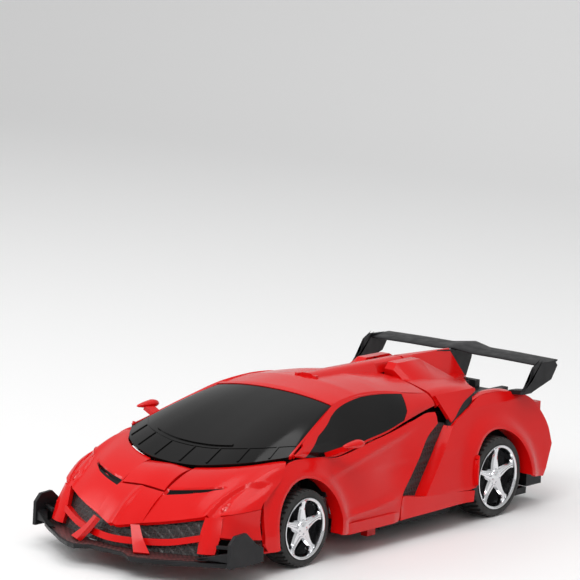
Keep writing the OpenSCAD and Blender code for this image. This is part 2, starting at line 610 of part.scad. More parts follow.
module head() color(SILVER) {
    translate([0, -60, 25.6]) rotate([90, 0, 0]) {
        plate_xz([[-5, 0.5], [5, 0.5], [8.3, 5], [8.3, 14], [6, 20], [2, 22], [-2, 22], [-6, 20],
            [-8.3, 14], [-8.3, 5]], -2, 4.8);
        plate_xz([[-3.4, 1], [3.4, 1], [5.6, 5], [5.6, 13], [-5.6, 13], [-5.6, 5]], -4.2, -2);
        plate_xz([[-5.6, 13.6], [5.6, 13.6], [4, 19], [0, 21], [-4, 19]], -5, -2);
    }
    box(-2.5, 2.5, -71, -63, 30.3, 31);
}

// ---------- which sub-parts are drawn ----------

rear_body_shell();
engine_deck();
side_meshes();
rear_wing();
rear_bumper();
rear_diffuser();
tail_lights();
exhaust_tips();
chassis_tray();
front_bulkhead();
front_grille();
battery_box();
battery_cells();
battery_cover();
motors();
lift_gearbox();
circuit_board();
charge_socket();
speaker();
rear_axle();
base_pins();
base_screws();
caster_wheel();
power_switch();
leg_frame();
shin_armour();
foot_armour();
thigh_rods();
pelvis_armour();
crotch_guard();
torso_frame();
torso_armour();
torso_plate();
chest_frame();
chest_pins();
hood_shell();
front_bumper();
grille_mesh();
headlights();
front_splitter();
arm_left();
arm_right();
door_left();
door_right();
door_bracket_left();
door_bracket_right();
front_tyre_left();
front_tyre_right();
front_rim_left();
front_rim_right();
rear_tyre_left();
rear_tyre_right();
rear_rim_left();
rear_rim_right();
roof_shell();
roof_frame();
windscreen();
side_windows();
head();
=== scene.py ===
"""Looks of the transforming robot car: gloss panels, glazing, wheels, wing and studio."""

import json
import math

import bpy
import numpy as np
from bpy.props import FloatProperty, FloatVectorProperty, IntProperty, PointerProperty
from bpy.types import Operator, Panel, PropertyGroup
from mathutils import Matrix, Vector


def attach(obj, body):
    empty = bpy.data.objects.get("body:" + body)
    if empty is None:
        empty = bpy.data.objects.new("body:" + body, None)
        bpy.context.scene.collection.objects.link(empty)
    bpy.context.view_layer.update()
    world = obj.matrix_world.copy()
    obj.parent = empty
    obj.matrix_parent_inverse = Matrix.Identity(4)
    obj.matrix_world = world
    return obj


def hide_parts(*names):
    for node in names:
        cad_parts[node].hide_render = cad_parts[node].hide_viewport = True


bl_info = {
    "name": "Transforming Robot Car",
    "version": (1, 0, 0),
    "blender": (4, 5, 0),
    "location": "View3D > Sidebar > Robot Car",
    "description": "Builds the body panels, wheels and finishes of a transforming robot car",
    "category": "Object",
}

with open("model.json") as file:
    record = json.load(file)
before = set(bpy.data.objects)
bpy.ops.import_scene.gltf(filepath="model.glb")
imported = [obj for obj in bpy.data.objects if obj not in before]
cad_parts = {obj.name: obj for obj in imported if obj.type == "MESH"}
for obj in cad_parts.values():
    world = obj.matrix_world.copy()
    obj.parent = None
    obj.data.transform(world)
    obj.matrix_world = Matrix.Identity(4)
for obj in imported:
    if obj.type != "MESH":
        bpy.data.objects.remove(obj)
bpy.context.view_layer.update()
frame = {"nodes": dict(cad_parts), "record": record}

MM = 0.001
FRONT_AXLE = (-49.5, 14.15)
REAR_AXLE = (68.5, 15.55)
ARCH_FRONT = 19.0
ARCH_REAR = 19.4

# each end: name, axle (y, z), inner face x, tyre radius, tyre width, rim radius
WHEELS = (("front", FRONT_AXLE, 33.6, 14.15, 10.4, 11.0),
          ("rear", REAR_AXLE, 32.0, 15.55, 11.6, 12.2))


# camera: direction in degrees, the point looked at and its distance in metres, and the small
# turns that raise the line of sight, so that the car stands low in the frame
CAMERA_AZIMUTH, CAMERA_ELEVATION, CAMERA_ROLL = 38.53, 12.01, 2.05
CAMERA_TARGET, CAMERA_DISTANCE = (0, 0.002, 0.025), 1.31418
CAMERA_RAISE, CAMERA_SIDE = 2.78, 0.19
WORLD_STRENGTH = 0.52
BUMP_STRENGTH = 0.52
SHARP_ANGLE = 32


# ---------------------------------------------------------------- sizes and colours

class CarPaint(PropertyGroup):
    """Colours of the moulded plastics."""

    red: FloatVectorProperty(name="Panel red", description="Gloss body panels", subtype="COLOR",
                             size=3, min=0, max=1, default=(0.70, 0.003, 0.003))
    black: FloatVectorProperty(name="Frame black", description="Satin frame plastic",
                               subtype="COLOR", size=3, min=0, max=1, default=(0.010, 0.010, 0.011))
    glass: FloatVectorProperty(name="Glazing", description="Gloss black glazing",
                               subtype="COLOR", size=3, min=0, max=1, default=(0.004, 0.004, 0.004))
    silver: FloatVectorProperty(name="Silver", description="Silver painted armour",
                                subtype="COLOR", size=3, min=0, max=1, default=(0.56, 0.57, 0.59))


class CarSizes(PropertyGroup):
    """Driving dimensions of the shells, in millimetres."""

    sill: FloatProperty(name="Half width", description="Half of the body width at the sills",
                        default=45.6, min=40, max=50)
    skin: FloatProperty(name="Panel thickness", description="Thickness of a moulded panel",
                        default=1.6, min=1, max=2.4)
    scoop: FloatProperty(name="Door hollow", description="Depth of the hollow in a door",
                         default=2.4, min=0, max=4)
    spokes: IntProperty(name="Spokes", description="Spokes of a wheel", default=5, min=3, max=9)
    lugs: IntProperty(name="Tread blocks", description="Tread blocks round a tyre", default=40,
                      min=20, max=60)


class StudioSettings(PropertyGroup):
    """Light and camera."""

    key: FloatProperty(name="Key light", description="Power of the key light", default=6.0,
                       min=0, unit="POWER")
    lens: FloatProperty(name="Lens", description="Focal length", default=216.7, min=20, max=400)


# ---------------------------------------------------------------- grids and solids

def smooth(points, n):
    """n points on a Catmull-Rom curve through the given points, ends included:
    each stretch is the cubic whose end slopes are half the step between its neighbours."""
    p = np.asarray(points, float)
    q = np.vstack([2 * p[0] - p[1], p, 2 * p[-1] - p[-2]])
    t = np.linspace(0, len(p) - 1, n)
    i = np.minimum(t.astype(int), len(p) - 2)
    f = (t - i)[:, None]
    a, b, c, d = q[i], q[i + 1], q[i + 2], q[i + 3]
    return 0.5 * (2 * b + (c - a) * f + (2 * a - 5 * b + 4 * c - d) * f ** 2
                  + (3 * b - a - 3 * c + d) * f ** 3)


def straight(points, n):
    """n points along the broken line through the points, evenly by point number."""
    p = np.asarray(points, float)
    t = np.linspace(0, len(p) - 1, n)
    return np.stack([np.interp(t, np.arange(len(p)), p[:, k]) for k in range(p.shape[1])], 1)


def ruled(a, b, n, swell=0.0):
    """Straight lines from curve a to curve b, swollen upward by a parabola in between."""
    t = np.linspace(0, 1, n)[None, :, None]
    g = a[:, None] * (1 - t) + b[:, None] * t
    g[..., 2] += (swell * 4 * t * (1 - t))[..., 0]
    return g


def normals(g):
    """Unit normals of a grid from the cross product of its two slopes."""
    n = np.cross(np.gradient(g, axis=0), np.gradient(g, axis=1))
    return n / np.maximum(np.linalg.norm(n, axis=2, keepdims=True), 1e-9)


def grid_faces(m, n, wrap_m=False, wrap_n=False):
    """Quads of an m by n grid, with either direction closed on itself."""
    i = np.arange(m if wrap_m else m - 1)
    j = np.arange(n if wrap_n else n - 1)
    i, j = [k.ravel() for k in np.meshgrid(i, j, indexing="ij")]
    i1, j1 = (i + 1) % m, (j + 1) % n
    return np.stack([i * n + j, i * n + j1, i1 * n + j1, i1 * n + j], 1)


def outward(v, f):
    """Faces turned so that the closed solid's volume, a sum of tetrahedra, is positive."""
    a, b, c, d = [v[f[:, k]] for k in range(4)]
    vol = np.sum(a * np.cross(b, c)) + np.sum(a * np.cross(c, d))
    return f if vol > 0 else f[:, ::-1]


def shell(g, thick, inside=(0, 0, 20)):
    """A closed panel: the grid, the same grid moved inward along its normals, and rims."""
    m, n, _ = g.shape
    nn = normals(g)
    if np.sum(nn * (g - np.array(inside))) < 0:
        nn = -nn
    inner = g - nn * thick
    v = np.vstack([g.reshape(-1, 3), inner.reshape(-1, 3)])
    k = m * n
    quads = grid_faces(m, n)
    edge = np.concatenate([np.arange(n - 1), np.arange(m - 1) * n + n - 1,
                           (m - 1) * n + np.arange(n - 1, 0, -1), np.arange(m - 1, 0, -1) * n])
    nxt = np.roll(edge, -1)
    rim = np.stack([nxt, edge, edge + k, nxt + k], 1)
    return v, outward(v, np.vstack([quads, quads[:, ::-1] + k, rim]))


def loft(rings):
    """A solid through closed rings of points (count, points, 3), its ends closed by fans
    of quads that fold the ring onto itself."""
    r = np.asarray(rings, float)
    m, n, _ = r.shape
    v = r.reshape(-1, 3)
    f = [grid_faces(m, n, wrap_n=True)]
    for base, turn in ((0, 1), ((m - 1) * n, -1)):
        j = np.arange(n // 2 - 1)
        cap = np.stack([base + j, base + n - 1 - j, base + n - 2 - j, base + j + 1], 1)
        f.append(cap[:, ::turn])
    return v, outward(v, np.vstack(f))


def ring_solid(profile, count, wobble=None):
    """A profile of (x, radius) points closed on itself and turned about the X axis.
    wobble(angle, x, radius) gives what is added to the radius."""
    p = np.asarray(profile, float)
    a = np.linspace(0, 2 * math.pi, count, endpoint=False)[:, None]
    x, r = p[None, :, 0] + 0 * a, p[None, :, 1] + 0 * a
    if wobble is not None:
        r = r + wobble(a, x, r)
    v = np.stack([x, r * np.cos(a), r * np.sin(a)], 2).reshape(-1, 3)
    return v, outward(v, grid_faces(count, len(p), True, True))


def block(x0, x1, y0, y1, z0, z1, taper=0.0):
    """A box whose upper face is drawn in by taper on every side."""
    t = taper
    low = [[x0, y0, z0], [x1, y0, z0], [x1, y1, z0], [x0, y1, z0]]
    top = [[x0 + t, y0 + t, z1], [x1 - t, y0 + t, z1], [x1 - t, y1 - t, z1], [x0 + t, y1 - t, z1]]
    return loft([low, top])


def slab(outline, x0, x1, rise=0.0):
    """An upright plate from x0 to x1 with a (y, z) outline, its outer face raised by rise."""
    return loft([[[x, y, z + up] for y, z in outline] for x, up in ((x0, 0.0), (x1, rise))])


def bar(a, b, w, h):
    """A bar of width w and height h from point a to point b, its section upright."""
    a, b = np.array(a, float), np.array(b, float)
    d = (b - a) / np.linalg.norm(b - a)
    side = np.cross(d, [0, 0, 1.0])
    side /= np.linalg.norm(side)
    up = np.cross(side, d)
    sec = np.array([-side * w - up * h, side * w - up * h, side * w + up * h,
                    -side * w + up * h]) / 2
    return loft([a + sec, b + sec])


def mirrored(part):
    """The same solid on the other side of the car."""
    v, f = part
    return v * [-1, 1, 1], f[:, ::-1]


def both(*parts):
    """Each solid and its mirror image."""
    return [p for part in parts for p in (part, mirrored(part))]


def piece(name, parts, body, slot, stands_for=(), finish=None, bevel=0.0):
    """One mesh object in metres from solids in millimetres, riding on its body. Its finish
    is that of its material slot unless another is named."""
    verts, faces, at = [], [], 0
    for v, f in parts:
        verts.append(v * MM)
        faces.append(f + at)
        at += len(v)
    mesh = bpy.data.meshes.new(name)
    mesh.from_pydata(np.vstack(verts), [], np.vstack(faces))
    mesh.validate()
    mesh.shade_smooth()
    mesh.set_sharp_from_angle(angle=math.radians(SHARP_ANGLE))
    mesh.materials.append(FINISHES[finish or slot])
    obj = bpy.data.objects.new(name, mesh)
    bpy.context.scene.collection.objects.link(obj)
    if bevel:
        mod = obj.modifiers.new("edges", "BEVEL")
        mod.width = bevel * MM
        mod.segments = 2
        mod.limit_method = "ANGLE"
        mod.angle_limit = math.radians(40)
    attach(obj, body)
    if stands_for:
        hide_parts(*stands_for)
    return obj


# ---------------------------------------------------------------- body surfaces

def flare(y, z, axle, r):
    """A ridge that follows the wheel arch, a bell curve of the distance from the arch."""
    d = np.hypot(y - axle[0], z - axle[1]) - r
    return 1.5 * np.exp(-(d / 3.6) ** 2)


def side_x(y, z):
    """Half width of the body side: a table of widths over the height, plus both arch
    flares, less the hollow of the door, plus bell-shaped creases above the sill and
    along the top of the door."""
    s = bpy.context.scene.car_sizes
    w = np.interp(z, [4, 9, 15, 22, 30, 38, 43, 48],
                  [0.985, 1, 0.996, 0.965, 0.925, 0.862, 0.825, 0.75]) * s.sill
    w = w + flare(y, z, FRONT_AXLE, ARCH_FRONT) + flare(y, z, REAR_AXLE, ARCH_REAR + 0.1)
    w = w - s.scoop * np.exp(-((y - 7) / 14) ** 2 - ((z - 27) / 8) ** 2)
    crease = 15.2 + 0.07 * (y + 28)
    on_door = 1 / (1 + np.exp(-(y + 27) / 1.2)) / (1 + np.exp((y - 3) / 1.2))
    w = w + 0.9 * np.exp(-((z - crease) / 1.2) ** 2) * on_door
    spear = 33.5 + 0.18 * (y + 20)
    on_spear = 1 / (1 + np.exp(-(y + 34) / 3)) / (1 + np.exp((y - 16) / 3))
    return w + 0.7 * np.exp(-((z - spear) / 1.5) ** 2) * on_spear


def on_side(yz, lift=0.0):
    """Points (y, z) laid on the body side."""
    y, z = yz[..., 0], yz[..., 1]
    return np.stack([side_x(y, z) + lift, y, z], -1)


def arc(axle, r, a0, a1, n):
    """n points of a wheel arch from angle a0 to a1 in degrees."""
    a = np.radians(np.linspace(a0, a1, n))
    return np.stack([axle[0] + r * np.cos(a), axle[1] + r * np.sin(a)], 1)


def side_panel(low, top, n):
    """A side grid: straight columns from the lower to the upper edge, laid on the side."""
    t = np.linspace(0, 1, n)[None, :, None]
    return on_side(low[:, None] * (1 - t) + top[:, None] * t)


def step(x):
    """Smooth step from 0 to 1 over x from 0 to 1."""
    x = np.clip(x, 0, 1)
    return x * x * (3 - 2 * x)


def vent(s):
    """Middle and half height of the hood vent at s, in the hood's own t."""
    return 0.555 + 0.05 * s, 0.054 * np.sqrt(np.clip(1 - (s / 0.362) ** 2, 0, 1))


def hood_point(s, t):
    """Nose surface from the windscreen (t = 0) to the lip (t = 1) and from the middle
    (s = 0) to the door seam (s = 1): ruled between the two edges, swollen upward,
    with a sunk vent and a sunk lamp pod between two crease lines, and a round dimple."""
    rear = smooth([[10.6, -72.9, 34.2], [20, -70, 35.4], [29, -64.4, 36.8], [36.2, -55.6, 38.2],
                   [39.4, -57.6, 37.2], [41.6, -61.6, 33.6], [43.2, -67.8, 30.7],
                   [44.2, -72.4, 27.8]], 200)
    lip = smooth([[10.6, -100.2, 18.6], [18, -97.4, 19.9], [25, -94.4, 21.4], [32, -90.6, 23],
                  [36, -88.2, 23.6], [39.4, -85.4, 24.2], [42.4, -81, 24.8],
                  [44.4, -75.4, 25.4]], 200)
    k = np.linspace(0, 1, 200)
    a = np.stack([np.interp(s, k, rear[:, c]) for c in range(3)], -1)
    b = np.stack([np.interp(s, k, lip[:, c]) for c in range(3)], -1)
    g = a * (1 - t[..., None]) + b * t[..., None]
    fade = np.clip(1 - (s - 0.55) / 0.45, 0, 1)
    lift = 2.6 * 4 * t * (1 - t) * (0.35 + 0.65 * fade)
    mid, half = vent(s)
    lift -= 1.5 * step((half - np.abs(t - mid)) / 0.02) * (s < 0.37) * step(s / 0.02)
    inner = np.interp(t, [0.20, 0.45, 0.57, 0.70, 0.86, 1], [0.75, 0.62, 0.50, 0.445, 0.43, 0.44])
    outer = np.interp(t, [0.20, 0.71, 0.91, 1.0], [0.75, 0.735, 0.64, 0.59])
    lift += 0.55 * np.exp(-((s - inner + 0.012) / 0.016) ** 2) * step((t - 0.2) / 0.2)
    lift -= 0.8 * step((s - inner) / 0.03) * step((outer - s) / 0.03) * step((t - 0.22) / 0.2)
    lift -= 0.9 * step(1.8 - np.hypot((s - 0.535) / 0.034, (t - 0.86) / 0.062) * 1.4)
    g[..., 2] += lift
    return g


def hood_grid(s0, s1, t0, t1, m, n, lift=0.0):
    """Part of the nose surface between two pairs of parameters, raised by lift."""
    s, t = np.meshgrid(np.linspace(s0, s1, m), np.linspace(t0, t1, n), indexing="ij")
    g = hood_point(s, t)
    return g + normals_up(g) * lift


def normals_up(g):
    """Grid normals turned to point upward."""
    n = normals(g)
    return n * np.where(n[..., 2:] < 0, -1.0, 1.0)


def roof_height(x, y):
    """Roof crown along the car, falling to the side rail by a power of the offset."""
    zc = np.interp(y, [-15, 0, 20, 41], [55.4, 56.9, 56.6, 54.2])
    zr = np.interp(y, [-15, -8, 0, 14, 24, 41], [52.4, 53.3, 53.9, 53.4, 52.2, 49.8])
    return zc - (zc - zr) * np.abs(x / 27.4) ** 2.4


def screen_grid(s0, s1, t0, t1, m, n, lift=0.0):
    """Windscreen surface: lines from the cowl curve to the roof's front edge."""
    cowl = smooth([[0, -72.8, 34.9], [10, -72, 35.3], [20, -69, 36.6], [29, -63.2, 38],
                   [36, -54.4, 39.4], [38, -51.6, 39.9]], 100)
    head = smooth([[0, -14.6, 55.4], [6, -14.6, 55.3], [13, -14.6, 54.8], [20, -14.6, 53.9],
                   [26, -14.6, 52.8], [27.2, -14.6, 52.3]], 100)
    s, t = np.meshgrid(np.linspace(s0, s1, m), np.linspace(t0, t1, n), indexing="ij")
    k = np.linspace(0, 1, 100)
    u, sign = np.abs(s), np.where(s < 0, -1.0, 1.0)
    a = np.stack([np.interp(u, k, cowl[:, c]) for c in range(3)], -1)
    b = np.stack([np.interp(u, k, head[:, c]) for c in range(3)], -1)
    g = a * (1 - t[..., None]) + b * t[..., None]
    g[..., 0] *= sign
    g[..., 2] += 1.8 * 4 * t * (1 - t) * (1 - u ** 4)
    return g + normals_up(g) * lift


BELT = [[38.1, -51, 39.6], [37.9, -42, 37.6], [37.8, -27, 36.2], [37.5, -17, 37.2],
        [37.0, -6.4, 38.8], [36.2, 6.6, 40.3], [35.0, 18.8, 42.6], [33.4, 31, 44.4],
        [32.2, 41, 45.6]]
RAIL = [[37.9, -50.6, 40.3], [34.4, -38, 44.9], [30.8, -25, 49.4], [27.9, -14.5, 52.7],
        [26.8, 0, 54.1], [27.0, 12, 53.7], [27.6, 21, 52.6], [28.0, 31, 51.0], [28.0, 41, 49.8]]


GLASS_FRONT = 0.10
GLASS_FOOT = 0.03


def glass_rear(v):
    """Rear edge of the side glass, in u at height v: it leans forward at the foot."""
    return np.interp(v, [0, 0.3, 1], [0.745, 0.785, 0.805])


def window_grid(m, n):
    """Side glass as an m by n grid: its top follows the pillar and the roof rail."""
    s, r = np.meshgrid(np.linspace(0, 1, m), np.linspace(0, 1, n), indexing="ij")
    u = GLASS_FRONT + s * (glass_rear(r) - GLASS_FRONT)
    top = np.interp(u, [0.10, 0.13, 0.18, 0.30, 0.42, 0.5, 0.8],
                    [0.10, 0.40, 0.74, 0.88, 0.93, 0.95, 0.95])
    return cabin_point(u, GLASS_FOOT + r * (top - GLASS_FOOT), 0.1)


def cabin_point(u, v, lift=0.0):
    """Cabin side between the belt line (v = 0) and the roof rail (v = 1), slightly round."""
    belt, rail = smooth(BELT, 161), smooth(RAIL, 161)
    k = np.linspace(0, 1, 161)
    a = np.stack([np.interp(u, k, belt[:, c]) for c in range(3)], -1)
    b = np.stack([np.interp(u, k, rail[:, c]) for c in range(3)], -1)
    g = a * (1 - v[..., None]) + b * v[..., None]
    g[..., 0] += 0.9 * 4 * v * (1 - v) + lift
    return g


def cabin_side(u0, u1, v0, v1, m, n, lift=0.0):
    """Part of the cabin side between two pairs of parameters."""
    u, v = np.meshgrid(np.linspace(u0, u1, m), np.linspace(v0, v1, n), indexing="ij")
    return cabin_point(u, v, lift)


# ---------------------------------------------------------------- finishes

class Finish:
    """A node material with one shader and small helpers to wire procedural detail."""

    def __init__(self, name, color, rough, metal=0.0, coat=0.0):
        self.mat = bpy.data.materials.new(name)
        self.mat.use_nodes = True
        self.nodes, self.links = self.mat.node_tree.nodes, self.mat.node_tree.links
        self.shader = self.nodes["Principled BSDF"]
        self.color = (*color[:3], 1.0)
        self.shader.inputs["Base Color"].default_value = self.color
        self.shader.inputs["Roughness"].default_value = rough
        self.shader.inputs["Metallic"].default_value = metal
        self.shader.inputs["Coat Weight"].default_value = coat
        self.shader.inputs["Coat Roughness"].default_value = 0.08
        self.rough = rough
        self.coord = self.nodes.new("ShaderNodeTexCoord").outputs["Object"]

    def noise(self, scale, detail=3.0):
        """Fractal noise over the piece; scale is in waves per metre."""
        n = self.nodes.new("ShaderNodeTexNoise")
        n.inputs["Scale"].default_value = scale
        n.inputs["Detail"].default_value = detail
        self.links.new(self.coord, n.inputs["Vector"])
        return n.outputs["Fac"]

    def ramp(self, value, low, high):
        """value from 0.3 to 0.7 mapped on low to high."""
        r = self.nodes.new("ShaderNodeMapRange")
        r.inputs["From Min"].default_value = 0.3
        r.inputs["From Max"].default_value = 0.7
        r.inputs["To Min"].default_value = low
        r.inputs["To Max"].default_value = high
        self.links.new(value, r.inputs["Value"])
        return r.outputs["Result"]

    def tint(self, value, other):
        """The base colour blends towards another colour where value is high."""
        m = self.nodes.new("ShaderNodeMix")
        m.data_type = "RGBA"
        m.inputs["A"].default_value = self.color
        m.inputs["B"].default_value = (*other[:3], 1.0)
        self.links.new(value, m.inputs["Factor"])
        self.links.new(m.outputs["Result"], self.shader.inputs["Base Color"])

    def roughen(self, value, spread):
        """The roughness wanders about its middle value."""
        self.links.new(self.ramp(value, max(self.rough - spread, 0.02), self.rough + spread),
                       self.shader.inputs["Roughness"])

    def bump(self, value, depth):
        """Height detail, depth in millimetres."""
        b = self.nodes.new("ShaderNodeBump")
        b.inputs["Strength"].default_value = BUMP_STRENGTH
        b.inputs["Distance"].default_value = depth * MM
        self.links.new(value, b.inputs["Height"])
        self.links.new(b.outputs["Normal"], self.shader.inputs["Normal"])


def gloss_red(color):
    """Gloss moulded plastic with faint ripple and deeper and lighter patches."""
    f = Finish("panel_red", color, 0.22, coat=0.08)
    f.shader.inputs["Specular IOR Level"].default_value = 0.28
    f.tint(f.ramp(f.noise(18), 0.0, 0.5), [c * 0.82 for c in color])
    f.roughen(f.noise(90), 0.04)
    f.bump(f.noise(160, 2), 0.05)
    return f.mat


def satin_black(color):
    """Satin black plastic with a fine spark-eroded grain."""
    f = Finish("satin_black", color, 0.42)
    f.shader.inputs["Specular IOR Level"].default_value = 0.2
    f.tint(f.ramp(f.noise(60), 0.0, 0.6), [c * 2.4 for c in color])
    f.roughen(f.noise(300), 0.09)
    f.bump(f.noise(1800, 4), 0.06)
    return f.mat


def gloss_glazing(color):
    """Opaque gloss black glazing with light smears."""
    f = Finish("glazing_black", color, 0.12)
    f.shader.inputs["Specular IOR Level"].default_value = 0.2
    f.tint(f.ramp(f.noise(25), 0.0, 0.5), (0.009, 0.008, 0.008))
    f.roughen(f.noise(70), 0.04)
    f.bump(f.noise(120, 2), 0.03)
    return f.mat


def plated(name, color):
    """Bright plating over plastic, with slight waviness."""
    f = Finish(name, color, 0.12, metal=1.0)
    f.tint(f.ramp(f.noise(40), 0.0, 0.5), [c * 0.82 for c in color])
    f.roughen(f.noise(250), 0.05)
    f.bump(f.noise(220, 2), 0.05)
    return f.mat


def silver_paint(color):
    """Silver paint with fine flake."""
    f = Finish("silver_paint", color, 0.34, metal=0.75)
    f.tint(f.ramp(f.noise(2600, 1), 0.0, 0.7), [min(c * 1.35, 1) for c in color])
    f.roughen(f.noise(150), 0.08)
    f.bump(f.noise(1500, 2), 0.03)
    return f.mat


def rubber():
    """Matt tyre rubber, dusty in places."""
    f = Finish("tyre_rubber", (0.012, 0.012, 0.012), 0.68)
    f.tint(f.ramp(f.noise(70), 0.0, 0.8), (0.03, 0.029, 0.028))
    f.roughen(f.noise(400), 0.10)
    f.bump(f.noise(2200, 4), 0.08)
    return f.mat


def intake_mesh():
    """Moulded mesh: cells of a Voronoi pattern stand as holes between raised wires. The holes are
    painted darker than the wires, as painted shade in the holes.
    """
    f = Finish("intake_mesh", (0.010, 0.009, 0.009), 0.38)
    v = f.nodes.new("ShaderNodeTexVoronoi")
    v.feature = "DISTANCE_TO_EDGE"
    v.inputs["Scale"].default_value = 620
    v.inputs["Randomness"].default_value = 0.12
    f.links.new(f.coord, v.inputs["Vector"])
    wires = f.nodes.new("ShaderNodeMapRange")
    wires.inputs["From Min"].default_value = 0.06
    wires.inputs["From Max"].default_value = 0.22
    wires.inputs["To Min"].default_value = 1.0
    wires.inputs["To Max"].default_value = 0.0
    f.links.new(v.outputs["Distance"], wires.inputs["Value"])
    # painted shade: the holes keep the dark base colour while the raised wires are painted lighter
    f.tint(wires.outputs["Result"], (0.030, 0.024, 0.024))
    f.bump(wires.outputs["Result"], 0.5)
    return f.mat


def woven():
    """Dark reddish woven cloth print: two square waves crossed, fine and shallow."""
    f = Finish("splitter_weave", (0.030, 0.012, 0.012), 0.4)
    c = f.nodes.new("ShaderNodeTexChecker")
    c.inputs["Scale"].default_value = 900
    f.links.new(f.coord, c.inputs["Vector"])
    f.tint(f.ramp(c.outputs["Fac"], 0.0, 0.9), (0.085, 0.030, 0.030))
    f.bump(f.noise(1500, 2), 0.05)
    return f.mat


def lens(name, color):
    """Moulded lamp lens with fine flutes."""
    f = Finish(name, color, 0.14, coat=0.4)
    w = f.nodes.new("ShaderNodeTexWave")
    w.inputs["Scale"].default_value = 180
    f.links.new(f.coord, w.inputs["Vector"])
    f.tint(f.ramp(w.outputs["Fac"], 0.0, 0.4), [c * 0.6 for c in color])
    f.bump(w.outputs["Fac"], 0.12)
    return f.mat


def plain_part(name, color, rough, metal=0.0):
    """Inner part with mottled colour and light wear."""
    f = Finish(name, color, rough, metal=metal)
    f.tint(f.ramp(f.noise(120), 0.0, 0.6), [c * 0.7 for c in color])
    f.roughen(f.noise(300), 0.08)
    f.bump(f.noise(900, 3), 0.05)
    return f.mat


FINISHES = {}


def make_finishes():
    """Every finish once, keyed by the record's material slot."""
    p = bpy.context.scene.car_paint
    FINISHES.update({
        "red_panel": gloss_red(p.red),
        "black_plastic": satin_black(p.black),
        "smoke_window": gloss_glazing(p.glass),
        "silver_plastic": silver_paint(p.silver),
        "plated_rim": plated("plated_rim", (0.80, 0.81, 0.83)),
        "tyre": rubber(),
        "steel_pin": plated("steel_pin", (0.55, 0.55, 0.57)),
        "red_lens": lens("red_lens", (0.7, 0.02, 0.02)),
        "clear_lens": lens("clear_lens", (0.8, 0.83, 0.86)),
        "battery_wrap": plain_part("battery_wrap", (0.08, 0.2, 0.45), 0.3),
        "motor_can": plain_part("motor_can", (0.5, 0.5, 0.5), 0.35, 0.9),
        "white_plastic": plain_part("white_plastic", (0.75, 0.75, 0.72), 0.45),
        "green_board": plain_part("green_board", (0.02, 0.2, 0.08), 0.35),
        "mesh": intake_mesh(),
        "weave": woven(),
    })


# ---------------------------------------------------------------- pieces

class OBJECT_OT_car_finishes(Operator):
    """Gives every carried-over CAD part its finish"""

    bl_idname = "object.car_finishes"
    bl_label = "Finishes"

    def execute(self, context):
        make_finishes()
        slots = {s["node"]: s["material_slot"] for s in frame["record"]["subparts"]}
        for name, obj in frame["nodes"].items():
            obj.data.materials.clear()
            obj.data.materials.append(FINISHES[slots[name]])
        for name in ("side_meshes", "grille_mesh"):
            frame["nodes"][name].data.materials[0] = FINISHES["mesh"]
        return {"FINISHED"}


